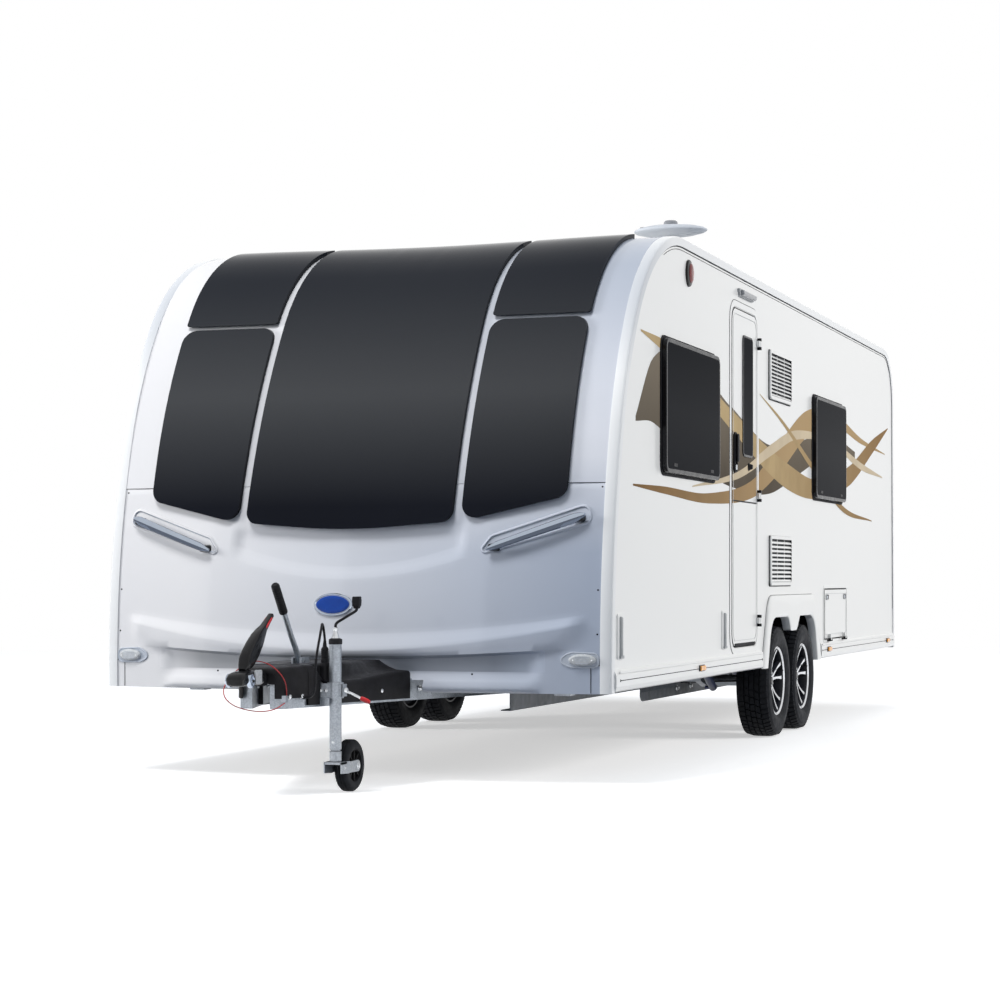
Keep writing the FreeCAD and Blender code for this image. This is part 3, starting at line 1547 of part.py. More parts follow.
castor = spin(
    "castor",
    [
        ("castor_pin + running_gap", "-castor_width / 2 - 4"),
        (24, "-castor_width / 2 - 4"),
        (30, "-10"),
        (62, "-12"),
        (66, "-castor_width / 2 + 4"),
        ("castor_radius - 14", "-castor_width / 2"),
        ("castor_radius - 3", "-castor_width / 2 + 10"),
        ("castor_radius", "-8"),
        ("castor_radius", "8"),
        ("castor_radius - 3", "castor_width / 2 - 10"),
        ("castor_radius - 14", "castor_width / 2"),
        (66, "castor_width / 2 - 4"),
        (62, "12"),
        (30, "10"),
        (24, "castor_width / 2 + 4"),
        ("castor_pin + running_gap", "castor_width / 2 + 4"),
    ],
)
place(castor, "jockey_x", "front_y + castor_y", "castor_radius", (0, 1, 0), 90)
keep(castor, "jockey_wheel")

# ---------------------------------------------------------------- lead and breakaway cable

LEAD_RADIUS = 5
LEAD_ROUTE = (
    (123.4, -800.2, 385),
    (156, -810, 386),
    (182, -830, 402),
    (196, -850, 432),
    (200, -858, 472),
    (201, -856, 522),
    (203, -843, 573),
    (200, -815, 619),
    (190, -777, 653),
    (175, -735, 671),
    (161, -694, 665),
    (152, -663, 641),
    (150, -650, 606),
)
BREAKAWAY_RADIUS = 2
BREAKAWAY_ROUTE = (
    (101, -905, 397),
    (107, -918, 432),
    (103, -938, 467),
    (84, -955, 497),
    (56, -964, 519),
    (20, -967, 530),
    (-18, -968, 530),
    (-52, -980, 512),
    (-76, -1008, 483),
    (-87, -1044, 452),
    (-84, -1080, 422),
    (-66, -1101, 392),
    (-40, -1080, 364),
    (-2, -1058, 349),
    (38, -1036, 341),
    (70, -1008, 342),
    (92, -964, 351),
    (101, -918, 371),
)


def cord(name, route, radius):
    """A tube along straight runs joined by arcs as large as the runs allow."""
    spots = [Vector(*spot) for spot in route]
    edges = []
    bends = []
    here = spots[0]
    for before, corner, after in zip(spots, spots[1:], spots[2:]):
        into = (before - corner).normalize()
        out = (after - corner).normalize()
        half_turn = (math.pi - into.getAngle(out)) / 2
        run = 0.45 * min((before - corner).Length, (after - corner).Length)
        bend = run / math.tan(half_turn)
        entry = corner + into * run
        leave = corner + out * run
        inside = (into + out).normalize() * (bend / math.cos(half_turn) - bend)
        edges.append(Part.LineSegment(here, entry).toShape())
        edges.append(Part.Arc(entry, corner + inside, leave).toShape())
        bends.append(bend)
        here = leave
    edges.append(Part.LineSegment(here, spots[-1]).toShape())
    path = Part.Wire(edges)
    start = (spots[1] - spots[0]).normalize()
    section = Part.Wire(Part.makeCircle(radius, spots[0], start))
    tube = path.makePipeShell([section], True, False)
    ideal = math.pi * radius**2 * path.Length
    print("%s: length %.0f mm, radii from %.0f mm" % (name, path.Length, min(bends)))
    print("%s: volume is %.4f of section times length" % (name, tube.Volume / ideal))
    return keep(solid(name + "_tube", tube), name)


cord("lead_cable", LEAD_ROUTE, LEAD_RADIUS)
cord("breakaway_cable", BREAKAWAY_ROUTE, BREAKAWAY_RADIUS)
plug = spin("plug_body", [(0, 0), (17, 0), (17, 34), (14, 40), (14, 66), (9, 91), (0, 91)])
place(plug, PLUG_X, "front_y + %d" % PLUG_STATION, "fairing_top + 3")
keep(plug, "lead_plug")

# the lead's gland and the breakaway cable's anchor are part of the nearside member
out_turn = math.degrees(math.atan2(size.bar_spread - size.bar_nose, size.bar_back + size.bar_front))
gland = rod(
    "lead_gland",
    108,
    "front_y - 796",
    385,
    11,
    16,
    (math.sin(math.radians(out_turn)), math.cos(math.radians(out_turn)), 0),
    90,
)
anchor = box("cable_anchor", 86, "front_y - 925", 371, 20, 26, 26)
keep(fuse("drawbar_near", [bars[0], gland, anchor]), "drawbar_nearside")

# ---------------------------------------------------------------- corner steadies

brackets = []
for end, station, way in (("front", "steady_front", -1), ("rear", "steady_rear", 1)):
    for side in (1, -1):
        name = "%s_%s" % (side_word(side), end)
        pivot_x = at_side(side, "steady_spread")
        pivot_y = "front_y + " + station
        foot_y = "%d * steady_length" % way
        arm = box(
            "steady_arm_" + name,
            pivot_x + " - 16",
            pivot_y if way > 0 else pivot_y + " - steady_length",
            "steady_z - 12",
            32,
            "steady_length",
            24,
        )
        eye = rod("steady_eye_" + name, pivot_x + " - 16", pivot_y, "steady_z", 18, 32, **ALONG_X)
        foot = box(
            "steady_foot_" + name,
            pivot_x + " - 35",
            pivot_y + " + %s - 35" % foot_y,
            "steady_z - 30",
            70,
            70,
            18,
        )
        hole = rod(
            "steady_hole_" + name,
            pivot_x + " - 20",
            pivot_y,
            "steady_z",
            "steady_pin + running_gap",
            40,
            **ALONG_X
        )
        leg_whole = fuse("steady_whole_" + name, [arm, eye, foot])
        keep(cut("steady_" + name, leg_whole, [hole]), "steady_" + name)
        ears = [
            box(
                "steady_ear_%s_%d" % (name, k),
                pivot_x + " + %d" % (22 if k else -28),
                pivot_y + " - 22",
                "steady_z - 18",
                6,
                44,
                "steady_drop + 18",
            )
            for k in (0, 1)
        ]
        pin = rod("steady_pin_" + name, pivot_x + " - 28", pivot_y, "steady_z", "steady_pin", 56, **ALONG_X)
        brackets.append(fuse("steady_bracket_" + name, ears + [pin]))
keep(group("steady_bracket_set", brackets), "steady_brackets")

# ---------------------------------------------------------------- check and write

doc.recompute()
faults = [item.Name for item in doc.Objects if {"Invalid", "Error"} & set(item.State)]
faults += [item.Label for item in kept if item.Shape.isNull() or not item.Shape.isValid()]
if faults:
    raise SystemExit("failed: " + ", ".join(faults))
os.makedirs("parts", exist_ok=True)
for item in kept:
    item.Shape.exportStep("parts/%s.step" % item.Label)
    print(item.Label, len(item.Shape.Solids), round(item.Shape.Volume / 1e6, 2))
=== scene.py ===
import math
import bmesh
import bpy
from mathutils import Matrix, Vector


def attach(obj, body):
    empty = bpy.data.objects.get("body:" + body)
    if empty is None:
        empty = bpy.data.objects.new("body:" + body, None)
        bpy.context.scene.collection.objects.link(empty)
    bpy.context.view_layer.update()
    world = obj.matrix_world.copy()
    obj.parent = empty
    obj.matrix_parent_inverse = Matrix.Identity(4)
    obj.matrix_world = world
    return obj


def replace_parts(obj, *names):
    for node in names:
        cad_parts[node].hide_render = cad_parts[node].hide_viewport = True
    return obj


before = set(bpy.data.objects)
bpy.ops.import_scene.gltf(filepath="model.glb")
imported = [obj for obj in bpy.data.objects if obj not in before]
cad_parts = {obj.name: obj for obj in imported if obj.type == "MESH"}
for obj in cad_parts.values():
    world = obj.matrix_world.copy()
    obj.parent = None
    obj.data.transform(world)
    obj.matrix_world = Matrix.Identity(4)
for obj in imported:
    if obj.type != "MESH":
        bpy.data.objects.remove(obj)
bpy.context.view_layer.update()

# Metres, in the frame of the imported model: +Z up, the drawbar to -Y, the door side +X.
FRONT_Y = -2.866  # front edge of the side walls
HALF = 1.14  # centreline to a side wall
FLOOR_Z = 0.435  # underside of the shell
SHELL = 0.032


def station(millimetres):
    """The y of a place measured back from the front edge of the side walls."""
    return FRONT_Y + millimetres / 1000


# ---------------------------------------------------------------- camera, stage and light

CAMERA_SPOT = (3.780, -11.891, 0.848)
CAMERA_YAW = 19.099
FOCAL_PIXELS = 2311
FRAME_PIXELS = 1000
HORIZON_PIXELS = 78.2  # how far the horizon is under the middle of the frame
SENSOR = 36
FAR_CLIP = 300

camera_data = bpy.data.cameras.new("camera")
camera_data.sensor_width = SENSOR
camera_data.lens = FOCAL_PIXELS / FRAME_PIXELS * SENSOR
camera_data.shift_y = HORIZON_PIXELS / FRAME_PIXELS
camera_data.clip_end = FAR_CLIP
camera = bpy.data.objects.new("camera", camera_data)
camera.location = CAMERA_SPOT
camera.rotation_euler = (math.pi / 2, 0, math.radians(CAMERA_YAW))
bpy.context.scene.collection.objects.link(camera)
bpy.context.scene.camera = camera
bpy.context.scene.view_settings.view_transform = "Standard"


def node_tree(name):
    material = bpy.data.materials.new(name)
    material.use_nodes = True
    tree = material.node_tree
    tree.nodes.clear()
    return material, tree


def add_node(tree, kind, numbers=(), **settings):
    """A shader node with the numbers of its inputs set; settings are its own properties."""
    made = tree.nodes.new("ShaderNode" + kind)
    for name, value in settings.items():
        setattr(made, name, value)
    for name, value in dict(numbers).items():
        made.inputs[name].default_value = value
    return made


def link(tree, start, end):
    tree.links.new(start, end)


FLOOR_NEAR = 7.0  # around the caravan the floor keeps its shadow; past FLOOR_FAR it is plain
FLOOR_FAR = 16.0
FLOOR_BOUNCE = (0.24, 0.26, 0.30, 1)  # what the floor throws back on the caravan
FLOOR_LIT = (0.80, 0.80, 0.81, 1)  # what the camera sees of it
FLOOR_GLOW = 0.50
SKY_LIGHT = (0.80, 0.90, 1.0, 1)
SKY_STRENGTH = 0.34
SKY_SEEN = (1, 1, 1, 1)
REACH = 60


def clean_ray(tree):
    """1 for what the camera sees directly, in a reflection or through glass."""
    path = add_node(tree, "LightPath")
    either = path.outputs["Is Camera Ray"]
    for name in ("Is Glossy Ray", "Is Transmission Ray"):
        join = add_node(tree, "Math", operation="MAXIMUM")
        link(tree, either, join.inputs[0])
        link(tree, path.outputs[name], join.inputs[1])
        either = join.outputs[0]
    return either


def join_shaders(tree, factor, first, second):
    """One shader from two; without a factor they are added."""
    made = add_node(tree, "MixShader" if factor else "AddShader")
    if factor:
        link(tree, factor, made.inputs["Fac"])
    for socket, shader in zip(list(made.inputs)[-2:], (first, second)):
        link(tree, shader.outputs[0], socket)
    return made


def stage_surface():
    """Pale floor: white to the camera and in reflections, with its shadow kept near by."""
    material, tree = node_tree("stage_floor")
    out = add_node(tree, "OutputMaterial")
    bounce = add_node(tree, "BsdfDiffuse", {"Color": FLOOR_BOUNCE})
    lit = add_node(tree, "BsdfDiffuse", {"Color": FLOOR_LIT})
    glow = add_node(tree, "Emission", {"Strength": FLOOR_GLOW})
    plain = add_node(tree, "Emission")
    reach = add_node(tree, "VectorMath", operation="LENGTH")
    link(tree, add_node(tree, "TexCoord").outputs["Object"], reach.inputs[0])
    fade = add_node(tree, "MapRange", {"From Min": FLOOR_NEAR, "From Max": FLOOR_FAR})
    link(tree, reach.outputs["Value"], fade.inputs["Value"])
    seen = join_shaders(tree, None, lit, glow)
    spread = join_shaders(tree, fade.outputs["Result"], seen, plain)
    pick = join_shaders(tree, clean_ray(tree), bounce, spread)
    link(tree, pick.outputs[0], out.inputs["Surface"])
    return material


floor_mesh = bpy.data.meshes.new("floor")
floor_mesh.from_pydata(
    [(-REACH, -REACH, 0), (REACH, -REACH, 0), (REACH, REACH, 0), (-REACH, REACH, 0)],
    [],
    [(0, 1, 2, 3)],
)
floor = bpy.data.objects.new("floor", floor_mesh)
bpy.context.scene.collection.objects.link(floor)
floor_mesh.materials.append(stage_surface())

world = bpy.data.worlds.new("world")
bpy.context.scene.world = world
world.use_nodes = True
sky = world.node_tree
sky.nodes.clear()
sky_out = add_node(sky, "OutputWorld")
sky_light = add_node(sky, "Background", {"Color": SKY_LIGHT, "Strength": SKY_STRENGTH})
sky_seen = add_node(sky, "Background", {"Color": SKY_SEEN, "Strength": 1.0})
sky_pick = join_shaders(sky, clean_ray(sky), sky_light, sky_seen)
link(sky, sky_pick.outputs[0], sky_out.inputs["Surface"])


def area_light(name, spot, target, size, power, colour):
    lamp = bpy.data.lights.new(name, "AREA")
    lamp.shape = "RECTANGLE"
    lamp.size, lamp.size_y = size
    lamp.energy = power
    lamp.color = colour
    thing = bpy.data.objects.new(name, lamp)
    thing.location = spot
    aim = Vector(target) - Vector(spot)
    thing.rotation_euler = aim.to_track_quat("-Z", "Y").to_euler()
    thing.visible_glossy = False
    bpy.context.scene.collection.objects.link(thing)


area_light("key", (14, 2.5, 6.5), (0, 0.5, 1), (7, 7), 1550, (1, 0.98, 0.95))
area_light("left", (-12, -8, 4), (0, -3, 1), (4, 4), 1180, (1, 0.98, 0.95))
area_light("top", (-1.2, -6.6, 7.6), (0, -2.9, 1.0), (2.5, 2.5), 460, (1, 0.99, 0.98))
area_light("back", (-3, 14, 8), (0, 1, 1), (8, 6), 650, (1, 1, 1))

# ---------------------------------------------------------------- materials


COAT_ROUGHNESS = 0.06
LEAST_ROUGHNESS = 0.02
BUMP_HEIGHT = 0.001


def surface(
    name,
    colour,
    rough,
    metal=0.0,
    coat=0.0,
    grain=(8.0, 0.06),
    rough_spread=0.08,
    bump=(400.0, 0.05),
    dirt=None,
    cells=None,
    gradients=(),
    ior=1.45,
):
    """A finish: colour varied by noise or cells, uneven roughness, bump, dirt near the ground.

    grain is (scale, amount) and bump is (scale, strength); dirt is (height, amount, colour);
    each of gradients is (axis, low, high, far colour).
    """
    material, tree = node_tree(name)
    out = add_node(tree, "OutputMaterial")
    shader = add_node(tree, "BsdfPrincipled", {
        "Metallic": metal, "Coat Weight": coat, "Coat Roughness": COAT_ROUGHNESS, "IOR": ior,
    })
    link(tree, shader.outputs[0], out.inputs["Surface"])
    place = add_node(tree, "TexCoord").outputs["Object"]

    def noise(scale, detail):
        texture = add_node(tree, "TexNoise", {"Scale": scale, "Detail": detail})
        link(tree, place, texture.inputs["Vector"])
        return texture.outputs["Fac"]

    def along(axis):
        parts = add_node(tree, "SeparateXYZ")
        link(tree, place, parts.inputs[0])
        return parts.outputs[axis]

    def spread(value, low, high, new_low, new_high):
        change = add_node(tree, "MapRange", {
            "From Min": low, "From Max": high, "To Min": new_low, "To Max": new_high,
        })
        link(tree, value, change.inputs["Value"])
        return change.outputs["Result"]

    def mix(factor, first, second):
        blend = add_node(tree, "Mix", data_type="RGBA")
        link(tree, factor, blend.inputs["Factor"])
        for socket, value in ((blend.inputs["A"], first), (blend.inputs["B"], second)):
            if isinstance(value, tuple):
                socket.default_value = (*value, 1)
            else:
                link(tree, value, socket)
        return blend.outputs["Result"]

    scale, amount = grain
    light = tuple(min(1.0, part * (1 + amount)) for part in colour)
    dark = tuple(part * (1 - amount) for part in colour)
    if cells:
        texture = add_node(tree, "TexVoronoi", {"Scale": cells})
        link(tree, place, texture.inputs["Vector"])
        split = add_node(tree, "SeparateColor")
        link(tree, texture.outputs["Color"], split.inputs["Color"])
        pattern = split.outputs["Red"]
    else:
        pattern = spread(noise(scale, 4), 0.35, 0.65, 0, 1)
    tint = mix(pattern, dark, light)
    for axis, low, high, far in gradients:
        tint = mix(spread(along(axis), low, high, 0, 1), tint, far)
    if dirt:
        height, strength, shade = dirt
        times = add_node(tree, "Math", operation="MULTIPLY")
        link(tree, spread(along("Z"), 0.0, height, strength, 0), times.inputs[0])
        link(tree, spread(noise(9, 6), 0.3, 0.7, 0.2, 1), times.inputs[1])
        tint = mix(times.outputs[0], tint, shade)
    link(tree, tint, shader.inputs["Base Color"])
    unevenness = spread(noise(scale * 1.7, 3), 0.3, 0.7,
                        max(LEAST_ROUGHNESS, rough - rough_spread), rough + rough_spread)
    link(tree, unevenness, shader.inputs["Roughness"])
    bump_scale, bump_strength = bump
    relief = add_node(tree, "Bump", {"Strength": bump_strength, "Distance": BUMP_HEIGHT})
    link(tree, noise(bump_scale, 2), relief.inputs["Height"])
    link(tree, relief.outputs["Normal"], shader.inputs["Normal"])
    return material


DUST = (0.36, 0.33, 0.29)
LOW_SHINE = 1.22  # refractive index of dull black plastics and rubber
FILM_SHINE = 1.08  # and of tinted acrylic, which keeps its dark look at a slant
SLANT_SHINE = 1.02  # and of what is only seen at a steep slant

M = {
    "white": surface("white_gelcoat", (0.80, 0.80, 0.79), 0.30, coat=0.25, grain=(1.3, 0.001),
                     rough_spread=0.01, bump=(40, 0.0005), dirt=(0.6, 0.04, DUST)),
    # The pearl's gradients are painted light and shade: lighter above the seam and towards -X, darker
    # towards the top and towards +X.
    "pearl": surface("pearl_gelcoat_painted_light_and_shade", (0.36, 0.41, 0.51), 0.26, coat=0.4, grain=(0.8, 0.001),
                     rough_spread=0.01, bump=(40, 0.0005), dirt=(0.6, 0.04, DUST),
                     gradients=(("Z", 0.95, 1.35, (0.66, 0.68, 0.74)),
                                ("Z", 1.45, 2.20, (0.34, 0.38, 0.46)),
                                ("X", 1.05, -0.75, (0.67, 0.67, 0.69)))),
    "pearl_shade": surface("pearl_in_shade", (0.19, 0.22, 0.28), 0.30, coat=0.1, grain=(0.8, 0.001),
                           rough_spread=0.01, bump=(40, 0.0005),
                           gradients=(("X", 1.05, -0.75, (0.36, 0.365, 0.38)),
                                      ("X", 0.66, 0.86, (0.39, 0.437, 0.529)),
                                      ("X", -0.66, -0.86, (0.67, 0.67, 0.69)))),
    # The darker chrome below is painted shade, for the faces of the grab bars that look down.
    "chrome_with_painted_shade": surface("chrome_with_painted_shade", (0.10, 0.12, 0.16), 0.14, 0.9, grain=(30, 0.02),
                           rough_spread=0.02, bump=(200, 0.01)),
    # The web's colour is galvanised steel darkened by painted shade, for the rails and webs under the
    # floor.
    "web": surface("web_galvanised_painted_shade", (0.13, 0.145, 0.165), 0.5, 0.3, grain=(14, 0.15),
                   bump=(90, 0.1), dirt=(0.5, 0.15, DUST)),
    "silver": surface("silver_gelcoat", (0.42, 0.46, 0.53), 0.26, coat=0.6, grain=(1.1, 0.02),
                      bump=(220, 0.004), rough_spread=0.02),
    "shadow": surface("seam_shadow", (0.012, 0.013, 0.016), 0.6, bump=(300, 0.1),
                      ior=LOW_SHINE),
    # The glazing's gradients are a painted reflection: lighter from the sill up to the middle of the
    # panes, darker again towards their top.
    "glazing": surface("dark_acrylic_painted_reflection", (0.008, 0.009, 0.013), 0.10, grain=(0.9, 0.12),
                       rough_spread=0.02, bump=(3.0, 0.02), ior=FILM_SHINE,
                       gradients=(("Z", 1.15, 1.62, (0.048, 0.050, 0.054)),
                                  ("Z", 1.66, 2.20, (0.014, 0.016, 0.021)))),
    # The side glazing's gradients are a painted reflection: lighter from the sill up to the middle of
    # the panes, darker again towards their top.
    "side_glazing": surface("dark_side_acrylic_painted_reflection", (0.012, 0.013, 0.016), 0.12,
                            grain=(1.2, 0.2), rough_spread=0.02, bump=(3.0, 0.02),
                            ior=SLANT_SHINE,
                            gradients=(("Z", 1.15, 1.55, (0.022, 0.023, 0.026)),
                                       ("Z", 1.60, 2.00, (0.006, 0.007, 0.010)))),
    "glazing_edge": surface("acrylic_edge", (0.006, 0.007, 0.010), 0.25, coat=0.12,
                            bump=(300, 0.03), ior=LOW_SHINE),
    # The rail's gradients are painted shade: a bluish darkening of its upper part at the front,
    # fading back to white further back.
    "alloy_white_painted_shade": surface("white_rail_with_painted_shade", (0.76, 0.77, 0.78), 0.3, coat=0.2, grain=(1.3, 0.001),
                           rough_spread=0.01, bump=(40, 0.0005),
                           gradients=(("Z", 1.7, 2.3, (0.24, 0.28, 0.35)),
                                      ("Y", -2.62, -1.95, (0.76, 0.77, 0.78)))),
    "rubber_seal": surface("seal_rubber", (0.016, 0.016, 0.018), 0.7, bump=(600, 0.15),
                           ior=LOW_SHINE),
    "board": surface("floor_board", (0.13, 0.105, 0.08), 0.75, grain=(6, 0.25), bump=(60, 0.4),
                     dirt=(0.6, 0.3, DUST)),
    "black": surface("grained_black", (0.010, 0.010, 0.012), 0.45, grain=(20, 0.2),
                     bump=(900, 0.25), dirt=(0.6, 0.05, DUST), ior=LOW_SHINE),
    "black_gloss": surface("gloss_black", (0.008, 0.008, 0.009), 0.18, coat=0.15,
                           bump=(300, 0.03), ior=LOW_SHINE),
    "liner": surface("arch_liner", (0.012, 0.012, 0.014), 0.7, grain=(15, 0.3), bump=(500, 0.5),
                     dirt=(0.75, 0.1, DUST), ior=LOW_SHINE),
    "chrome": surface("chrome", (0.40, 0.45, 0.53), 0.12, 1.0, grain=(30, 0.02),
                      rough_spread=0.02, bump=(200, 0.01)),
    "galvanised": surface("galvanised", (0.34, 0.37, 0.41), 0.38, 0.75, grain=(12, 0.16),
                          rough_spread=0.12, bump=(90, 0.2), cells=210,
                          dirt=(0.5, 0.18, DUST)),
    "steel": surface("bright_steel", (0.60, 0.62, 0.64), 0.28, 1.0, grain=(40, 0.1),
                     bump=(250, 0.1)),
    "cast": surface("cast_black", (0.018, 0.018, 0.020), 0.45, grain=(30, 0.3),
                    bump=(260, 0.4), ior=LOW_SHINE),
    "blue": surface("damper_blue", (0.015, 0.045, 0.22), 0.35, coat=0.4, grain=(20, 0.1),
                    dirt=(0.6, 0.2, DUST)),
    "tyre": surface("tyre_rubber", (0.011, 0.012, 0.015), 0.65, grain=(26, 0.3),
                    bump=(240, 0.3), dirt=(0.62, 0.05, (0.10, 0.095, 0.09)), ior=LOW_SHINE),
    "rim_face": surface("machined_alloy", (0.66, 0.67, 0.69), 0.22, 1.0, grain=(60, 0.05),
                        bump=(400, 0.08)),
    "rim_dark": surface("dark_alloy", (0.016, 0.018, 0.024), 0.32, coat=0.12, grain=(20, 0.1),
                        bump=(300, 0.04), ior=LOW_SHINE),
    "drum": surface("brake_drum", (0.030, 0.029, 0.028), 0.6, grain=(18, 0.3),
                    bump=(150, 0.4), ior=LOW_SHINE),
    "amber": surface("amber_lens", (0.92, 0.36, 0.015), 0.15, coat=0.5, grain=(60, 0.12),
                     bump=(500, 0.2)),
    "dark_red": surface("dark_red_lens", (0.16, 0.006, 0.008), 0.2, coat=0.3, grain=(60, 0.1),
                        bump=(500, 0.1)),
    "dish_grey": surface("dish_grey", (0.50, 0.53, 0.58), 0.45, grain=(9, 0.03), bump=(200, 0.05)),
    "red": surface("red_lens", (0.50, 0.012, 0.012), 0.15, coat=0.8, grain=(60, 0.12),
                   bump=(500, 0.2)),
    "red_plastic": surface("red_plastic", (0.55, 0.02, 0.025), 0.4, grain=(30, 0.1),
                           bump=(300, 0.1)),
    "clear": surface("clear_lens", (0.48, 0.50, 0.52), 0.14, coat=0.6, grain=(90, 0.12),
                     bump=(500, 0.25)),
    "lamp_grey": surface("grey_lens", (0.22, 0.23, 0.25), 0.2, coat=0.3, grain=(60, 0.1),
                         bump=(500, 0.15)),
    "blank_plate": surface("blank_plate", (0.62, 0.60, 0.50), 0.35, grain=(30, 0.03),
                           bump=(300, 0.05)),
    "pad_grey": surface("pad_grey", (0.40, 0.41, 0.42), 0.5, grain=(20, 0.06), bump=(500, 0.2)),
    "bronze": surface("bronze_film", (0.24, 0.145, 0.07), 0.45, grain=(5, 0.10), ior=SLANT_SHINE,
                      bump=(600, 0.02), gradients=(("Y", -2.4, 0.6, (0.44, 0.31, 0.17)),)),
    "gold": surface("gold_film", (0.48, 0.36, 0.20), 0.45, grain=(5, 0.08), ior=SLANT_SHINE,
                    bump=(600, 0.02), gradients=(("Y", -0.5, 3.4, (0.28, 0.175, 0.085)),)),
    "taupe": surface("taupe_film", (0.10, 0.084, 0.066), 0.5, grain=(3, 0.12), ior=SLANT_SHINE,
                     bump=(600, 0.02), gradients=(("Z", 1.3, 2.0, (0.26, 0.22, 0.17)),)),
    "sand": surface("sand_film", (0.60, 0.50, 0.36), 0.45, grain=(4, 0.06), ior=SLANT_SHINE,
                    bump=(600, 0.04)),
    "blue_badge": surface("badge_blue", (0.004, 0.045, 0.28), 0.2, coat=0.2, grain=(40, 0.05),
                          ior=LOW_SHINE),
    "cable": surface("cable_black", (0.012, 0.012, 0.014), 0.42, grain=(30, 0.1),
                     bump=(300, 0.1), ior=LOW_SHINE),
    "cable_red": surface("cable_red", (0.42, 0.03, 0.03), 0.4, grain=(60, 0.1), bump=(500, 0.1)),
}

# finishes of the frame's own nodes that stay in sight; the others there are white
NODE_FINISH = {
    "front_panel_upper": "pearl", "front_glazing": "glazing", "floor_panel": "board",
    "wheel_boxes": "liner", "rooflight_lid_front": "glazing", "rooflight_lid_rear": "glazing",
    "leaf_hinges": "black", "chassis_rails": "web", "drawbar_nearside": "galvanised",
    "drawbar_offside": "galvanised", "axle_front": "galvanised", "axle_rear": "galvanised",
    "dampers": "blue", "mudflaps": "black",
}


def finish_of(node):
    return NODE_FINISH.get(node, "galvanised" if node.startswith("steady_") else "white")


for node_name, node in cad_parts.items():
    node.data.materials.clear()
    node.data.materials.append(M[finish_of(node_name)])
    for slot in node.material_slots:
        slot.material = M[finish_of(node_name)]

# ---------------------------------------------------------------- mesh helpers


def turns(count):
    """The angles of even steps round a circle."""
    return [2 * math.pi * n / count for n in range(count)]


class Form:
    """A mesh being built: corners, faces, and the finish of each face."""

    def __init__(self):
        self.spots = []
        self.faces = []
        self.finish = []

    def add(self, spots, faces, finish):
        start = len(self.spots)
        self.spots += [tuple(spot) for spot in spots]
        self.faces += [[start + corner for corner in face] for face in faces]
        self.finish += [finish] * len(faces)

    def loft(self, rings, finish, caps=True, around=False):
        """Faces between rings of corners; around joins the last ring to the first."""
        count = len(rings[0])
        faces = []
        steps = len(rings) if around else len(rings) - 1
        for k in range(steps):
            low, high = k * count, (k + 1) % len(rings) * count
            for n in range(count):
                m = (n + 1) % count
                faces.append([low + n, low + m, high + m, high + n])
        if caps and not around:
            faces.append(list(range(count))[::-1])
            faces.append([(len(rings) - 1) * count + n for n in range(count)])
        self.add([spot for ring in rings for spot in ring], faces, finish)

    def box(self, low, high, finish):
        (x0, y0, z0), (x1, y1, z1) = low, high
        rings = [[(x0, y0, z), (x1, y0, z), (x1, y1, z), (x0, y1, z)] for z in (z0, z1)]
        self.loft(rings, finish)

    def tube(self, path, radius, finish, sides):
        """A round bar along a path."""
        points = [Vector(spot) for spot in path]
        rings = []
        across = None
        for k, here in enumerate(points):
            ahead = points[min(k + 1, len(points) - 1)] - points[max(k - 1, 0)]
            ahead.normalize()
            if across is None:
                across = ahead.orthogonal().normalized()
            across = (across - ahead * across.dot(ahead)).normalized()
            up = ahead.cross(across)
            rings.append([
                here + across * radius * math.cos(turn) + up * radius * math.sin(turn)
                for turn in turns(sides)
            ])
        self.loft(rings, finish)

    def lathe(self, profile, centre, axis, finish, count, ring=False):
        """(along, radius) corners turned about an axis, closed at its ends or joined in a ring."""
        axis = Vector(axis).normalized()
        across = axis.orthogonal().normalized()
        up = axis.cross(across)
        centre = Vector(centre)
        rings = [
            [
                centre + axis * along
                + (across * math.cos(turn) + up * math.sin(turn)) * max(radius, 0.0001)
                for turn in turns(count)
            ]
            for along, radius in profile
        ]
        self.loft(rings, finish, around=ring)


def piece(name, form, body, bevel=0.0, sharp=35):
    """One object from a form, riding on a body, with its edges rounded by bevel."""
    mesh = bpy.data.meshes.new(name)
    mesh.from_pydata(form.spots, [], form.faces)
    kinds = list(dict.fromkeys(form.finish))
    for kind in kinds:
        mesh.materials.append(M[kind])
    for face, kind in zip(mesh.polygons, form.finish):
        face.material_index = kinds.index(kind)
        face.use_smooth = len(face.vertices) <= 4
    shape = bmesh.new()
    shape.from_mesh(mesh)
    bmesh.ops.recalc_face_normals(shape, faces=shape.faces)
    shape.to_mesh(mesh)
    shape.free()
    mesh.set_sharp_from_angle(angle=math.radians(sharp))
    thing = bpy.data.objects.new(name, mesh)
    bpy.context.scene.collection.objects.link(thing)
    if bevel:
        edge = thing.modifiers.new("edges", "BEVEL")
        edge.width = bevel
        edge.segments = 2
        edge.limit_method = "ANGLE"
        edge.angle_limit = math.radians(sharp)
        edge.harden_normals = True
    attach(thing, body)
    return thing


def side_name(side):
    return "nearside" if side > 0 else "offside"


def for_both_sides(function):
    for side in (1, -1):
        function(side, side_name(side))


# ---------------------------------------------------------------- wheels

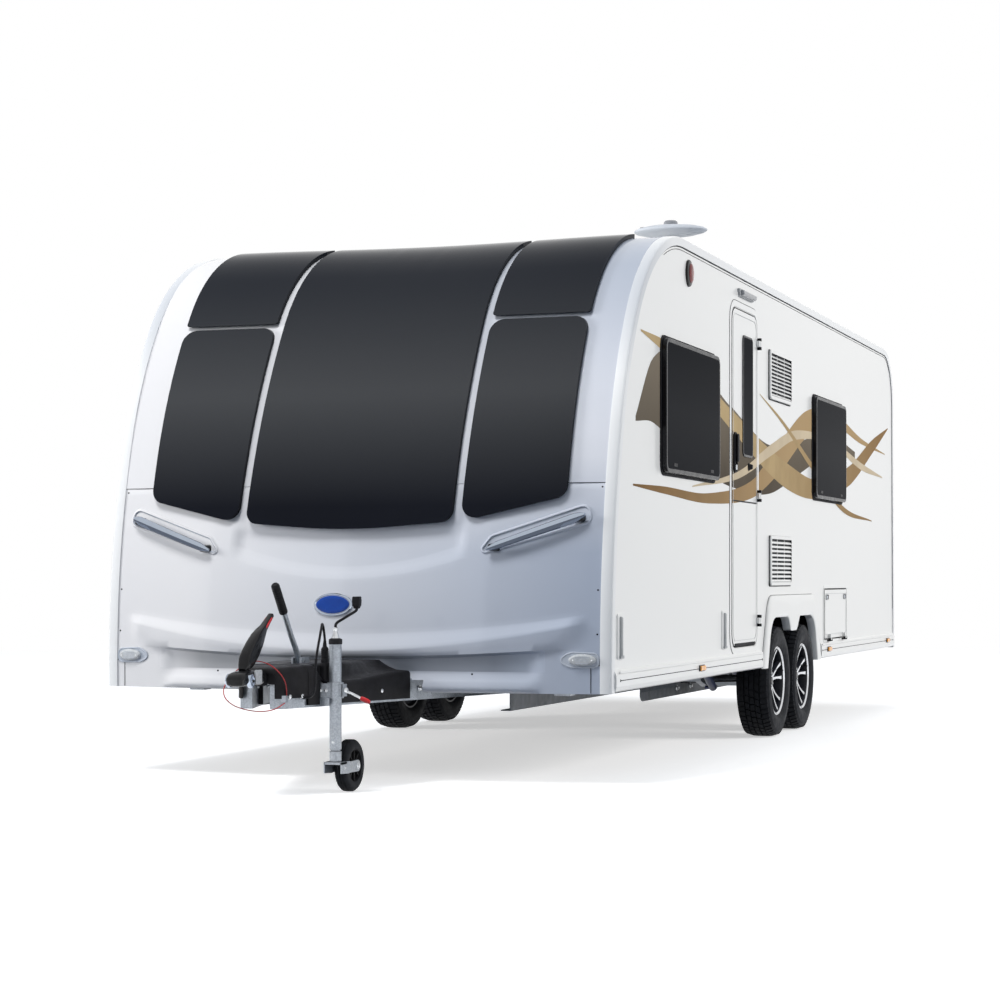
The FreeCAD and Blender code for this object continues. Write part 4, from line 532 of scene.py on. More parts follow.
WHEEL_HEIGHT = 0.298
WHEEL_X = HALF + 0.007 - 0.0925  # centre plane of a wheel
WHEEL_STATIONS = {"front": station(3175), "rear": station(3825)}
CARCASS = (
    # out from the wheel's centre plane, radius
    (0.070, 0.178), (0.077, 0.188), (0.0855, 0.203), (0.0905, 0.222), (0.0920, 0.236),
    (0.0910, 0.239), (0.0915, 0.250), (0.0880, 0.262), (0.0880, 0.265), (0.0815, 0.276),
    (0.0740, 0.2840), (0.060, 0.2885), (0.044, 0.2900), (0.041, 0.2860), (0.038, 0.2900),
    (0.016, 0.2905), (0.013, 0.2865),
)
TREAD = (
    # inner edge, outer edge, blocks, share of the pitch that a block fills, slant
    (-0.011, 0.011, 46, 0.82, 0.0), (0.017, 0.037, 46, 0.78, 1.2), (-0.037, -0.017, 46, 0.78, 1.2),
    (0.045, 0.080, 58, 0.70, -0.5), (-0.080, -0.045, 58, 0.70, -0.5),
)
TREAD_TOP = 0.2975
TREAD_FALL = 0.0105  # how much lower the tread is at its shoulders
TREAD_DEPTH = 0.009
SPOKES = 5
SPOKE_EDGE = 0.005  # how far a spoke's bright face stands over its sides
BOLT_CIRCLE = 0.0475
RIM_BARREL = (
    (0.070, 0.1835), (0.0745, 0.1830), (0.0765, 0.1790), (0.0725, 0.1745), (0.0690, 0.1700),
    (0.0560, 0.1665), (-0.0600, 0.1600), (-0.0760, 0.1740), (-0.0760, 0.1830), (-0.0700, 0.1780),
    (-0.0560, 0.1690), (0.0500, 0.1740), (0.0640, 0.1780),
)
RIM_LIP = (
    (0.0700, 0.1843), (0.0752, 0.1838), (0.0772, 0.1792), (0.0732, 0.1735), (0.0705, 0.1705),
    (0.0690, 0.1725), (0.0700, 0.1800),
)
SPOKE_RUN = (
    # radius, half angle between the two bars, half width, face, depth
    (0.040, 0.15, 0.0130, 0.040, 0.034), (0.070, 0.17, 0.0092, 0.0425, 0.028),
    (0.105, 0.20, 0.0078, 0.0465, 0.024), (0.140, 0.230, 0.0086, 0.0540, 0.022),
    (0.169, 0.250, 0.0135, 0.0640, 0.020),
)


def wheel(side, name, y):
    def spot(out, radius, turn):
        return Vector((side * (WHEEL_X + out), y + radius * math.cos(turn),
                       WHEEL_HEIGHT + radius * math.sin(turn)))

    def turned(form, profile, finish, count):
        rings = [[spot(out, radius, turn) for out, radius in profile] for turn in turns(count)]
        form.loft(rings, finish, around=True)

    body = "wheel_" + name
    tyre = Form()
    carcass = list(CARCASS) + [(-out, radius) for out, radius in reversed(CARCASS)]
    turned(tyre, carcass, "tyre", 96)
    for inner, outer, blocks, share, slant in TREAD:
        for k in range(blocks):
            rings = []
            for depth in (TREAD_DEPTH, 0.0):
                ring = []
                for out, edge in ((inner, 0), (outer, 0), (outer, share), (inner, share)):
                    turn = (2 * math.pi * (k + edge) / blocks) + slant * out
                    top = TREAD_TOP - TREAD_FALL * (out / 0.08) ** 4
                    ring.append(spot(out, top - depth, turn))
                rings.append(ring)
            tyre.loft(rings, "tyre")
    tread = piece("tyre_%s_tread" % name, tyre, body, sharp=30)
    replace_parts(tread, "tyre_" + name)

    rim = Form()
    turned(rim, RIM_BARREL, "rim_dark", 72)
    turned(rim, RIM_LIP, "rim_face", 72)
    for spoke in turns(SPOKES):
        middle = spoke + math.pi / 2
        for flip in (-1, 1):
            rings = []
            for radius, spread, width, face, depth in SPOKE_RUN:
                turn = middle + flip * spread
                half_turn = width / radius
                section = (
                    (face, -0.72), (face, 0.72), (face - SPOKE_EDGE, 1), (face - depth, 1.5),
                    (face - depth, -1.5), (face - SPOKE_EDGE, -1),
                )
                rings.append([spot(out, radius, turn + half_turn * share)
                              for out, share in section])
            start = len(rim.faces)
            rim.loft(rings, "rim_dark")
            for k in range(start, len(rim.faces) - 2):
                if (k - start) % 6 == 0:
                    rim.finish[k] = "rim_face"
        rim.lathe([(0, 0.0), (0, 0.011), (0.012, 0.011), (0.012, 0.0085), (0.021, 0.0085),
                   (0.023, 0.0)], spot(0.020, BOLT_CIRCLE, middle + math.pi / SPOKES),
                  (side, 0, 0), "steel", 12)
    centre = spot(0, 0, 0)
    rim.lathe([(-0.03, 0.0), (-0.03, 0.062), (0.020, 0.062), (0.024, 0.058), (0.024, 0.040),
               (0.034, 0.036), (0.034, 0.0)], centre, (side, 0, 0), "rim_dark", 40)
    rim.lathe([(0.033, 0.0), (0.033, 0.031), (0.041, 0.030), (0.045, 0.026), (0.046, 0.0)],
              centre, (side, 0, 0), "rim_face", 40)
    rim.lathe([(0.046, 0.0), (0.046, 0.022), (0.048, 0.020), (0.048, 0.0)], centre,
              (side, 0, 0), "black_gloss", 32)
    rim.lathe([(-0.070, 0.0), (-0.070, 0.128), (-0.030, 0.128), (-0.024, 0.122), (-0.024, 0.075),
               (-0.018, 0.070), (-0.018, 0.0)], centre, (side, 0, 0), "drum", 48)
    valve = spot(0.062, 0.158, 0.35)
    rim.lathe([(-0.012, 0.0), (-0.012, 0.004), (0.016, 0.0035), (0.018, 0.0)], valve,
              (side * 0.8, -0.4, -0.2), "black", 10)
    face = piece("rim_%s_face" % name, rim, body, sharp=32)
    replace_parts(face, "rim_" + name)


for end_name, wheel_y in WHEEL_STATIONS.items():
    for wheel_side in (1, -1):
        wheel(wheel_side, "%s_%s" % (side_name(wheel_side), end_name), wheel_y)

# ---------------------------------------------------------------- surfaces that trim lies on

ROOF_INSIDE = 2.348
NOSE_START = 0.495
NOSE_BOW = 0.121
NOSE_SECTIONS = (-1.05, -0.55, 0, 0.55, 1.05)  # in shares of the half width


def nose_arcs(grow, bulge):
    """Centres, radii and end angles of the nose's arcs; bulge is 1 along the centreline."""
    lower, brow, first, second = [
        side + (middle - side) * bulge
        for side, middle in ((3.480, 1.962), (1.650, 3.390), (16.4, 17.1), (36.4, 32.3))
    ]
    ends = [math.radians(first), math.radians(second), math.pi / 2]
    low = (lower - NOSE_BOW * bulge, NOSE_START)
    step = lower - brow
    middle = (low[0] - math.cos(ends[0]) * step, low[1] + math.sin(ends[0]) * step)
    rise = math.sin(ends[1])
    crown = (ROOF_INSIDE - middle[1] - brow * rise) / (1 - rise)
    high = (middle[0] - math.cos(ends[1]) * (brow - crown), middle[1] + rise * (brow - crown))
    return list(zip((low, middle, high), (lower + grow, brow + grow, crown + grow),
                    (0, *ends[:2]), ends))


def nose_point(arcs, along):
    """(back, up) of a section, along its arcs from 0 to 3."""
    (back, up), radius, start, end = arcs[min(2, int(along))]
    turn = start + (end - start) * (along - min(2, int(along)))
    return back - radius * math.cos(turn), up + radius * math.sin(turn)


def nose(x, z, grow):
    """The y of the front's surface, grown outwards by grow, at a place across and up."""
    share = max(-1.049, min(1.049, x / HALF))
    k = max(n for n in range(4) if NOSE_SECTIONS[n] <= share)
    low, high = NOSE_SECTIONS[k], NOSE_SECTIONS[k + 1]
    part = (share - low) / (high - low)
    ends = [(nose_arcs(grow, 1 - edge ** 2), weight)
            for edge, weight in ((low, 1 - part), (high, part))]

    def reached(along, axis):
        return sum(nose_point(arcs, along)[axis] * weight for arcs, weight in ends)

    bottom, top = 0.0, 3.0
    along = 0
    if z > NOSE_START:
        for _ in range(26):
            along = (bottom + top) / 2
            if reached(along, 1) < z:
                bottom = along
            else:
                top = along
    return FRONT_Y + reached(along, 0)


def on_front(x, z, lift):
    return x, nose(x, z, SHELL + lift), z


def on_side(side, proud=0.0):
    """Places on a side wall: metres back from its front edge, height, and lift off the wall."""
    def place(back, up, lift):
        return side * (HALF + proud + lift), FRONT_Y + back, up
    return place


def on_level(height):
    """Places on a level surface: metres across, along, and lift above it."""
    def place(x, y, lift):
        return x, y, height + lift
    return place


def fillet(corners, steps, closed=True):
    """(across, up, radius) corners made into a line of (across, up) with round corners."""
    line = []
    count = len(corners)
    for k, (u, v, radius) in enumerate(corners):
        here = Vector((u, v))
        if not closed and k in (0, count - 1) or radius <= 0:
            line.append((u, v))
            continue
        before = (Vector(corners[k - 1][:2]) - here).normalized()
        after = (Vector(corners[(k + 1) % count][:2]) - here).normalized()
        half_turn = (math.pi - before.angle(after)) / 2
        middle = here + (before + after).normalized() * (radius / math.cos(half_turn))
        start = here + before * radius * math.tan(half_turn) - middle
        end = here + after * radius * math.tan(half_turn) - middle
        first = math.atan2(start.y, start.x)
        sweep = (math.atan2(end.y, end.x) - first + math.pi) % (2 * math.pi) - math.pi
        for n in range(steps + 1):
            turn = first + sweep * n / steps
            line.append((middle.x + radius * math.cos(turn), middle.y + radius * math.sin(turn)))
    return line


def block_outline(u0, v0, u1, v1, radius, steps):
    return fillet([(u0, v0, radius), (u1, v0, radius), (u1, v1, radius), (u0, v1, radius)], steps)


def oval(u, v, across, up, count=32):
    return [(u + across * math.cos(turn), v + up * math.sin(turn)) for turn in turns(count)]


def inset_line(line, amount):
    """A closed line moved inwards by amount."""
    moved = []
    count = len(line)
    area = sum(a[0] * b[1] - b[0] * a[1] for a, b in zip(line, line[1:] + line[:1]))
    sense = 1 if area > 0 else -1
    for k, here in enumerate(line):
        before, after = Vector(line[k - 1]), Vector(line[(k + 1) % count])
        ahead = (after - before).normalized()
        moved.append((here[0] - sense * ahead.y * amount, here[1] + sense * ahead.x * amount))
    return moved


def plate(form, place, line, finish, steps):
    """A closed outline raised in steps of (inset, lift); a step can name the finish from there on."""
    rings, finishes = [], []
    for inset, lift, *change in steps:
        finish = change[0] if change else finish
        finishes.append(finish)
        rings.append([place(u, v, lift) for u, v in inset_line(line, inset)])
    for low, high, band in zip(rings, rings[1:], finishes[1:]):
        form.loft([low, high], band, caps=False)
    count = len(line)
    middle = [sum(v[k] for v in line) / count for k in (0, 1)]
    top = rings[-1] + [place(*middle, steps[-1][1])]
    form.add(top, [[n, (n + 1) % count, count] for n in range(count)], finish)


SUNK = 0.001


def strip(form, place, path, width, lift, finish, closed=False):
    """A flat trim strip along a path of (across, up), sunk a little in what it lies on."""
    rings = []
    count = len(path)
    for k, here in enumerate(path):
        before = path[k - 1] if k or closed else here
        after = path[(k + 1) % count] if k < count - 1 or closed else here
        ahead = (Vector(after) - Vector(before)).normalized()
        u, v = -ahead.y * width / 2, ahead.x * width / 2
        rings.append([place(here[0] + a * u, here[1] + a * v, up)
                      for a, up in ((1, -SUNK), (1, lift), (-1, lift), (-1, -SUNK))])
    form.loft(rings, finish, around=closed)


def smooth(low, high, value):
    share = max(0.0, min(1.0, (value - low) / (high - low)))
    return share * share * (3 - 2 * share)


def curve(table, value):
    """A smooth value through a table of (place, value) rows."""
    rows = list(table)
    for k in range(len(rows) - 1):
        if value <= rows[k + 1][0] or k == len(rows) - 2:
            (u0, v0), (u1, v1) = rows[k], rows[k + 1]
            before = rows[max(0, k - 1)]
            after = rows[min(len(rows) - 1, k + 2)]
            slope0 = (v1 - before[1]) / (u1 - before[0])
            slope1 = (after[1] - v0) / (after[0] - u0)
            run = u1 - u0
            t = (value - u0) / run
            return (v0 * (2 * t**3 - 3 * t**2 + 1) + slope0 * run * (t**3 - 2 * t**2 + t)
                    + v1 * (3 * t**2 - 2 * t**3) + slope1 * run * (t**3 - t**2))


# ---------------------------------------------------------------- front

SEAM = 1.241
PANEL_BOTTOM = 0.377
PANEL_COLUMNS = 112
PANEL_INSIDE = 0.004  # how far the panel's back stands out from the shell's inner face
NOTCH = (0.360, 0.437)  # half width and top of the notch for the drawbar
SHADED_ROWS = (4, 6)  # rows of panel_rows that the pressed band overhangs
SHADED_HALF = 0.868


def panel_rows(x):
    """(height, relief) up the lower panel at one place across: ledges, a band and a recess."""
    a = abs(x)
    glass = 1 - smooth(0.49, 0.53, a)
    band = 1 - smooth(0.97, 1.04, a)
    under = 1 - smooth(0.86, 1.00, a)
    recess = 1 - smooth(0.795, 0.868, a)
    tip = min(a, 0.507) / 0.507
    ledge_low = 0.844 + 0.082 * tip**2
    ledge_high = 0.899 + 0.091 * tip**2
    return [
        (PANEL_BOTTOM, -0.006 * recess), (0.390, 0.012 * recess), (0.404, 0.014 * recess),
        (0.452, -0.018 * recess), (0.464, -0.020 * recess),
        (0.512 + 0.030 * (a / 0.85) ** 2, -0.011 * recess),
        (0.524 + 0.030 * (a / 0.85) ** 2, 0.014 * under),
        (0.545 + 0.104 * a * a, 0.024 * band), (0.553 + 0.105 * a * a, 0.0235 * band),
        (0.612 + 0.079 * a * a, 0.0016 * band), (0.620 + 0.077 * a * a, 0.0),
        (0.700 + 0.08 * a * a, 0.0), (0.78 + 0.05 * tip, 0.0), (ledge_low - 0.006, 0.0),
        (ledge_low + 0.004, -0.001 * glass), (ledge_high - 0.005, -0.017 * glass),
        (ledge_high + 0.004, -0.018 * glass), (1.030, -0.018 * glass), (1.060, -0.008 * glass),
        (1.12, 0.0), (1.18, 0.0), (SEAM - 0.003, 0.0), (SEAM - 0.0005, -0.003),
    ]


def panel_line(x):
    """panel_rows with every row split in two, or in four where the relief is round."""
    table = panel_rows(x)
    line = []
    for k, ((z0, r0), (z1, r1)) in enumerate(zip(table, table[1:])):
        parts = 4 if k in (8, 10, 11, 12) else 2
        line += [(z0 + (z1 - z0) * n / parts, r0 + (r1 - r0) * n / parts) for n in range(parts)]
    return line + [table[-1]]


def lower_panel():
    """The front's lower panel, a sheet with its relief, notched for the drawbar."""
    columns = [-HALF + 2 * HALF * n / PANEL_COLUMNS for n in range(PANEL_COLUMNS + 1)]
    fine = [panel_line(x) for x in columns]
    form = Form()
    count = len(fine[0])
    outer = [[on_front(x, z, relief) for z, relief in line] for x, line in zip(columns, fine)]
    inner = [[(p[0], nose(p[0], p[2], PANEL_INSIDE), p[2]) for p in line] for line in outer]
    grid = [p for line in outer for p in line] + [p for line in inner for p in line]
    shift = len(columns) * count
    faces, shaded = [], []
    for k in range(PANEL_COLUMNS):
        middle = abs(columns[k] + columns[k + 1]) / 2
        floor_row = 0
        if middle < NOTCH[0]:
            floor_row = max(n for n in range(count) if fine[k][n][0] < NOTCH[1])
        for n in range(floor_row, count - 1):
            a, b = k * count + n, (k + 1) * count + n
            overhung = 2 * SHADED_ROWS[0] <= n < 2 * SHADED_ROWS[1] and middle < SHADED_HALF
            (shaded if overhung else faces).append([a, b, b + 1, a + 1])
            faces.append([shift + a, shift + a + 1, shift + b + 1, shift + b])
        for n in (floor_row, count - 1):
            a, b = k * count + n, (k + 1) * count + n
            faces.append([a, b, shift + b, shift + a])
    for k in (0, PANEL_COLUMNS):
        for n in range(count - 1):
            a = k * count + n
            faces.append([a, a + 1, shift + a + 1, shift + a])
    form.add(grid, faces, "pearl")
    form.faces += shaded
    form.finish += ["pearl_shade"] * len(shaded)
    skin = piece("front_panel_lower_pressed", form, "caravan", sharp=50)
    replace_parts(skin, "front_panel_lower")


SCREW_COVERS = (
    # across, up
    (0.968, 1.262), (1.085, 1.262), (1.085, 1.222), (1.085, 0.62), (1.085, 0.80), (0.575, 0.455),
    (0.30, 0.455),
)


def front_seams():
    """The seam between the panels, the line round each corner cover, and screw covers."""
    form = Form()
    for side in (1, -1):
        seam = [(side * (0.90 + 0.0295 * n), SEAM) for n in range(8)]
        strip(form, on_front, seam, 0.005, 0.0006, "shadow")
        corner = [(side * 1.060, 0.380 + 0.0135 * n) for n in range(9)]
        corner += [(side * (1.060 + 0.0095 * n), 0.490 + 0.001 * n) for n in range(1, 5)]
        strip(form, on_front, corner, 0.003, 0.0012, "shadow")
        for x, z in SCREW_COVERS:
            form.lathe([(-0.001, 0.0), (-0.001, 0.0042), (0.0006, 0.0038), (0.0012, 0.0)],
                       on_front(side * x, z, 0.0), (0, -1, 0.1), "shadow", 10)
    piece("front_seams", form, "caravan")


def front_lamps():
    """Eye-shaped lamp housings, with an oval lens, its two screws and its ribs."""
    form = Form()
    for side in (1, -1):
        eye = fillet([(side * 0.918, 0.512, 0.02), (side * 0.972, 0.484, 0.05),
                      (side * 1.094, 0.482, 0.022), (side * 1.096, 0.545, 0.026),
                      (side * 0.975, 0.550, 0.06)], 7)
        plate(form, on_front, eye, "silver", [
            (0, -0.002), (0, 0.004), (0.003, 0.006), (0.006, 0.005), (0.008, 0.0035),
        ])
        lens = oval(side * 1.028, 0.5155, side * 0.056, 0.025)
        plate(form, on_front, lens, "clear", [
            (0, 0.003), (0, 0.010), (0.004, 0.015), (0.008, 0.018), (0.0105, 0.0185),
        ])
        for x in (0.990, 1.066):
            form.lathe([(0, 0.0), (0, 0.005), (0.0022, 0.0045), (0.0028, 0.0)],
                       on_front(side * x, 0.5155, 0.016), (0, -1, 0), "steel", 12)
        for n in range(5):
            rib = [(side * (1.001 + 0.008 * k), 0.502 + 0.0065 * n) for k in range(8)]
            strip(form, on_front, rib, 0.0018, 0.0192, "silver")
    piece("front_lamps", form, "caravan", sharp=40)


def badge_plate():
    """A blank oval plate: a chrome rim about a plain blue field."""
    form = Form()
    rim = oval(-0.035, 0.738, 0.087, 0.048, 48)
    plate(form, on_front, rim, "chrome", [
        (0, -0.001), (0, 0.006), (0.0025, 0.009), (0.007, 0.009), (0.009, 0.007),
    ])
    field = [(0, 0.006), (0.004, 0.0085), (0.012, 0.0100)]
    plate(form, on_front, inset_line(rim, 0.009), "blue_badge", field)
    piece("badge_plate_blank", form, "caravan", sharp=40)


BAR_STEPS = 20
BAR_CORNERS = 7  # corners of the bar's section, of which the first three look down and take chrome darkened as painted shade


def grab_bars():
    """A sloping chrome bar on two feet at each side, before a pressed pod."""
    form = Form()
    for side in (1, -1):
        pod = Form()
        shape = fillet([(side * 0.585, 0.947, 0.012), (side * 1.046, 1.082, 0.02),
                        (side * 1.036, 1.152, 0.03), (side * 0.640, 1.020, 0.03)], 6)
        plate(pod, on_front, shape, "pearl", [
            (-0.010, -0.001), (-0.004, 0.006), (0, 0.0065), (0.006, -0.001, "silver"),
            (0.010, -0.0015),
        ])
        piece("handle_pod_" + side_name(side), pod, "caravan", sharp=40)
        rings = []
        for n in range(BAR_STEPS + 1):
            share = n / BAR_STEPS
            x = 0.628 + 0.400 * share
            low = 0.9505 + share * 0.1345
            high = 0.9845 + share * 0.1455
            off = 0.030 + 0.010 * math.sin(math.pi * share) ** 0.6
            end = min(1.0, 0.35 + 3.2 * min(share, 1 - share) ** 0.7)
            middle = (low + high) / 2
            tall = (high - low) / 2 * end
            back = off - 0.007
            section = (
                (-0.7, back), (-1, (off + back) / 2), (-0.8, off + 0.003), (0, off + 0.0065),
                (0.8, off + 0.003), (1, (off + back) / 2), (0.7, back),
            )
            rings.append([on_front(side * x, middle + tall * up, lift) for up, lift in section])
        first = len(form.faces)
        form.loft(rings, "chrome")
        # the faces that look down are given painted shade: a darker chrome
        for k in range(BAR_STEPS):
            under = first + BAR_CORNERS * k
            form.finish[under:under + 3] = ["chrome_with_painted_shade"] * 3
        for x, z in ((0.655, 0.975), (1.000, 1.094)):
            foot = block_outline(side * x - 0.02, z - 0.013, side * x + 0.02, z + 0.013, 0.008, 4)
            plate(form, on_front, foot, "black_gloss", [(-0.004, -0.002), (0, 0.030), (0.002, 0.031)])
    handle = piece("grab_bars", form, "caravan", sharp=50)
    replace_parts(handle, "grab_handles")


lower_panel()
front_seams()
front_lamps()
badge_plate()
grab_bars()

# ---------------------------------------------------------------- side walls

SIDE_WINDOWS = (
    # side, start, length, sill, height
    (1, 0.744, 0.989, 1.312, 0.590), (1, 4.053, 0.921, 1.308, 0.584),
    (-1, 0.744, 0.989, 1.312, 0.590), (-1, 2.460, 0.700, 1.400, 0.492),
    (-1, 4.053, 0.921, 1.308, 0.584),
)
DOOR = (2.074, 0.511, 2.625, 2.181)  # start, sill, end, top
DOOR_PANE = (2.289, 1.458, 2.508, 2.066)
DOOR_RAIL = 1.231  # height of the line across the door
HATCH = (4.400, 0.492, 5.100, 0.782)
LEAF_PROUD = 0.004  # how far the door and the hatch stand out from the wall


def grown(box, amount, radius, steps):
    """The outline of a (start, sill, end, top) box, grown on every side."""
    u0, v0, u1, v1 = box
    return block_outline(u0 - amount, v0 - amount, u1 + amount, v1 + amount, radius, steps)


def side_glazing():
    """Windows with a dark border, lines at their top and sides, two catches and a seal."""
    form = Form()
    for side, start, length, sill, height in SIDE_WINDOWS:
        place = on_side(side)
        end, top = start + length, sill + height
        plate(form, place, block_outline(start, sill, end, top, 0.045, 7), "glazing_edge", [
            (0, 0), (0, 0.024), (0.0015, 0.0268), (0.004, 0.0277), (0.016, 0.0277),
            (0.018, 0.0262), (0.024, 0.0262, "side_glazing"), (0.036, 0.0266),
        ])
        strip(form, place, [(start + 0.05, top - 0.012), (end - 0.05, top - 0.012)],
              0.011, 0.0278, "glazing_edge")
        for back in (start + 0.012, end - 0.012):
            strip(form, place, [(back, sill + 0.07), (back, top - 0.07)],
                  0.004, 0.0279, "black_gloss")
        for back in (start + 0.16, end - 0.16):
            catch = block_outline(back - 0.03, sill + 0.030, back + 0.03, sill + 0.045, 0.005, 3)
            plate(form, place, catch, "black", [(0, 0.026), (0, 0.0275), (0.002, 0.0279)])
        seal = grown((start, sill, end, top), 0.007, 0.05, 6)
        strip(form, place, seal, 0.012, 0.005, "rubber_seal", closed=True)
    glass = piece("side_windows_framed", form, "caravan", sharp=28)
    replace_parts(glass, "side_windows")


def door_surround():
    """The frame on the wall round the door, and the seam round the frame."""
    wall = on_side(1)
    form = Form()
    strip(form, wall, grown(DOOR, 0.026, 0.092, 8), 0.030, 0.0028, "white", closed=True)
    piece("door_frame", form, "caravan", bevel=0.001)
    form = Form()
    strip(form, wall, grown(DOOR, 0.0435, 0.11, 8), 0.0024, 0.0008, "shadow", closed=True)
    piece("door_frame_seam", form, "caravan")


def door_lines():
    """Seal, sill strip, cross line and pressed line of the door's leaf."""
    place = on_side(1, LEAF_PROUD)
    start, sill, end, top = DOOR
    form = Form()
    strip(form, place, grown(DOOR, 0.0015, 0.071, 8), 0.005, -0.0005, "rubber_seal", closed=True)
    strip(form, place, [(start + 0.05, sill + 0.007), (end - 0.05, sill + 0.007)], 0.014, 0.0015,
          "rubber_seal")
    strip(form, place, [(start + 0.004, DOOR_RAIL), (end - 0.004, DOOR_RAIL)], 0.007, 0.0008,
          "shadow")
    line = block_outline(start + 0.022, sill + 0.025, end - 0.022, top - 0.022, 0.052, 8)
    strip(form, place, line, 0.004, 0.0015, "white", closed=True)
    line = block_outline(start + 0.0255, sill + 0.0285, end - 0.0255, top - 0.0255, 0.049, 8)
    strip(form, place, line, 0.0015, 0.0008, "pad_grey", closed=True)
    piece("door_lines", form, "door")


def door_furniture():
    """The door's pane, its handle in a dish with a lock barrel, and a round pin lock."""
    place = on_side(1, LEAF_PROUD)
    form = Form()
    plate(form, place, grown(DOOR_PANE, 0, 0.030, 7), "glazing_edge", [
        (0, -0.003), (0, 0.0045), (0.0015, 0.006), (0.010, 0.006),
        (0.012, 0.005, "side_glazing"), (0.022, 0.0052),
    ])
    glass = piece("door_pane", form, "door", sharp=28)
    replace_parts(glass, "door_window")

    form = Form()
    dish = block_outline(2.089, 1.368, 2.149, 1.569, 0.028, 8)
    plate(form, place, dish, "black", [
        (0, -0.002), (0, 0.008), (0.003, 0.011), (0.007, 0.011), (0.009, 0.0035),
        (0.013, 0.002, "black_gloss"),
    ])
    grip = block_outline(2.102, 1.420, 2.136, 1.560, 0.016, 6)
    plate(form, place, grip, "black", [
        (0.004, 0.002), (0.003, 0.014), (0, 0.019), (0.002, 0.0235), (0.007, 0.0245),
    ])
    barrel = Vector(place(2.119, 1.395, 0.002))
    form.lathe([(0, 0.0), (0, 0.014), (0.010, 0.014), (0.012, 0.012), (0.012, 0.0)], barrel,
               (1, 0, 0), "steel", 24)
    keyhole = Vector((0.011, -0.001, -0.006)), Vector((0.0125, 0.001, 0.006))
    form.box(barrel + keyhole[0], barrel + keyhole[1], "shadow")
    handle = piece("door_handle_set", form, "door", bevel=0.0006, sharp=40)
    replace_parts(handle, "door_handle")

    form = Form()
    form.lathe([(-0.002, 0.0), (-0.002, 0.019), (0.005, 0.019), (0.008, 0.016), (0.018, 0.013),
                (0.022, 0.010), (0.022, 0.0)], place(2.425, 1.410, 0), (1, 0, 0), "black", 28)
    piece("door_pin_lock", form, "door", sharp=40)


def hatch_parts():
    """Lines and two latches of the service hatch, and its frame on the wall."""
    place = on_side(1, LEAF_PROUD)
    u0, _, u1, v1 = HATCH
    form = Form()
    for inset, width, lift, finish in ((0.0005, 0.003, 0.0004, "rubber_seal"),
                                       (0.022, 0.004, 0.0014, "white"),
                                       (0.0252, 0.0016, 0.0008, "pad_grey")):
        strip(form, place, grown(HATCH, -inset, 0.016, 6), width, lift, finish, closed=True)
    for back in (u0 + 0.075, u1 - 0.075):
        base = block_outline(back - 0.034, v1 - 0.062, back + 0.034, v1 - 0.028, 0.010, 5)
        plate(form, place, base, "pad_grey", [
            (0, -0.001), (0, 0.004), (0.002, 0.0055), (0.005, 0.0055), (0.006, 0.003, "shadow"),
        ])
        catch = block_outline(back - 0.022, v1 - 0.054, back + 0.010, v1 - 0.037, 0.005, 4)
        plate(form, place, catch, "silver", [(0, 0.002), (0, 0.005), (0.002, 0.006)])
    piece("hatch_lines_and_latches", form, "service_hatch", sharp=40)
    form = Form()
    strip(form, on_side(1), grown(HATCH, 0.014, 0.026, 6), 0.017, 0.0026, "white", closed=True)
    piece("hatch_frame", form, "caravan", bevel=0.001)


VENTS = (
    # start, sill, length, height, slats
    (2.909, 1.792, 0.539, 0.259, 11), (2.920, 0.809, 0.530, 0.264, 10),
)
VENT_RIM = 0.018
VENT_EDGE = 0.020  # from a vent's top or bottom to its slats


def vents():
    """Framed grilles with sloping slats, two uprights behind them and a dark gap all round."""
    form = Form()
    place = on_side(1)
    for start, sill, length, height, slats in VENTS:
        gap = block_outline(start - 0.003, sill - 0.005, start + length + 0.003,
                            sill + height + 0.001, 0.014, 5)
        plate(form, place, gap, "shadow", [(0, 0), (0, 0.004), (0.001, 0.0045)])
        rim = block_outline(start, sill, start + length, sill + height, 0.022, 5)
        plate(form, place, rim, "white", [
            (0, 0.003), (0, 0.011), (0.002, 0.0135), (VENT_RIM, 0.0135), (0.019, 0.0048, "shadow"),
        ])
        pitch = (height - 2 * VENT_EDGE) / slats
        slat = ((0.000, 0.0125), (0.002, 0.0136), (pitch * 0.52, 0.0080), (pitch * 0.52, 0.0060),
                (0.000, 0.0105))
        for k in range(slats):
            z = sill + VENT_EDGE + pitch * k
            form.loft([[place(back, z + up, lift) for up, lift in slat]
                       for back in (start + VENT_RIM, start + length - VENT_RIM)], "white")
        for back in (start + length / 3, start + 2 * length / 3):
            form.box(place(back - 0.002, sill + VENT_EDGE, 0.005),
                     place(back + 0.002, sill + height - VENT_EDGE, 0.0085), "white")
    grille = piece("louvre_vents", form, "caravan", sharp=32)
    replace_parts(grille, "vent_grilles")


side_glazing()
door_surround()
door_lines()
door_furniture()
hatch_parts()
vents()

SKIRT_OUT = 0.014
SKIRT_RUNS = ((0.045, 2.725), (4.275, 6.775))
SKIRT_LINE = 0.4285
AWNING_PADS = (
    # back, bottom, top
    (0.096, 0.520, 0.690), (1.906, 0.510, 0.680),
)


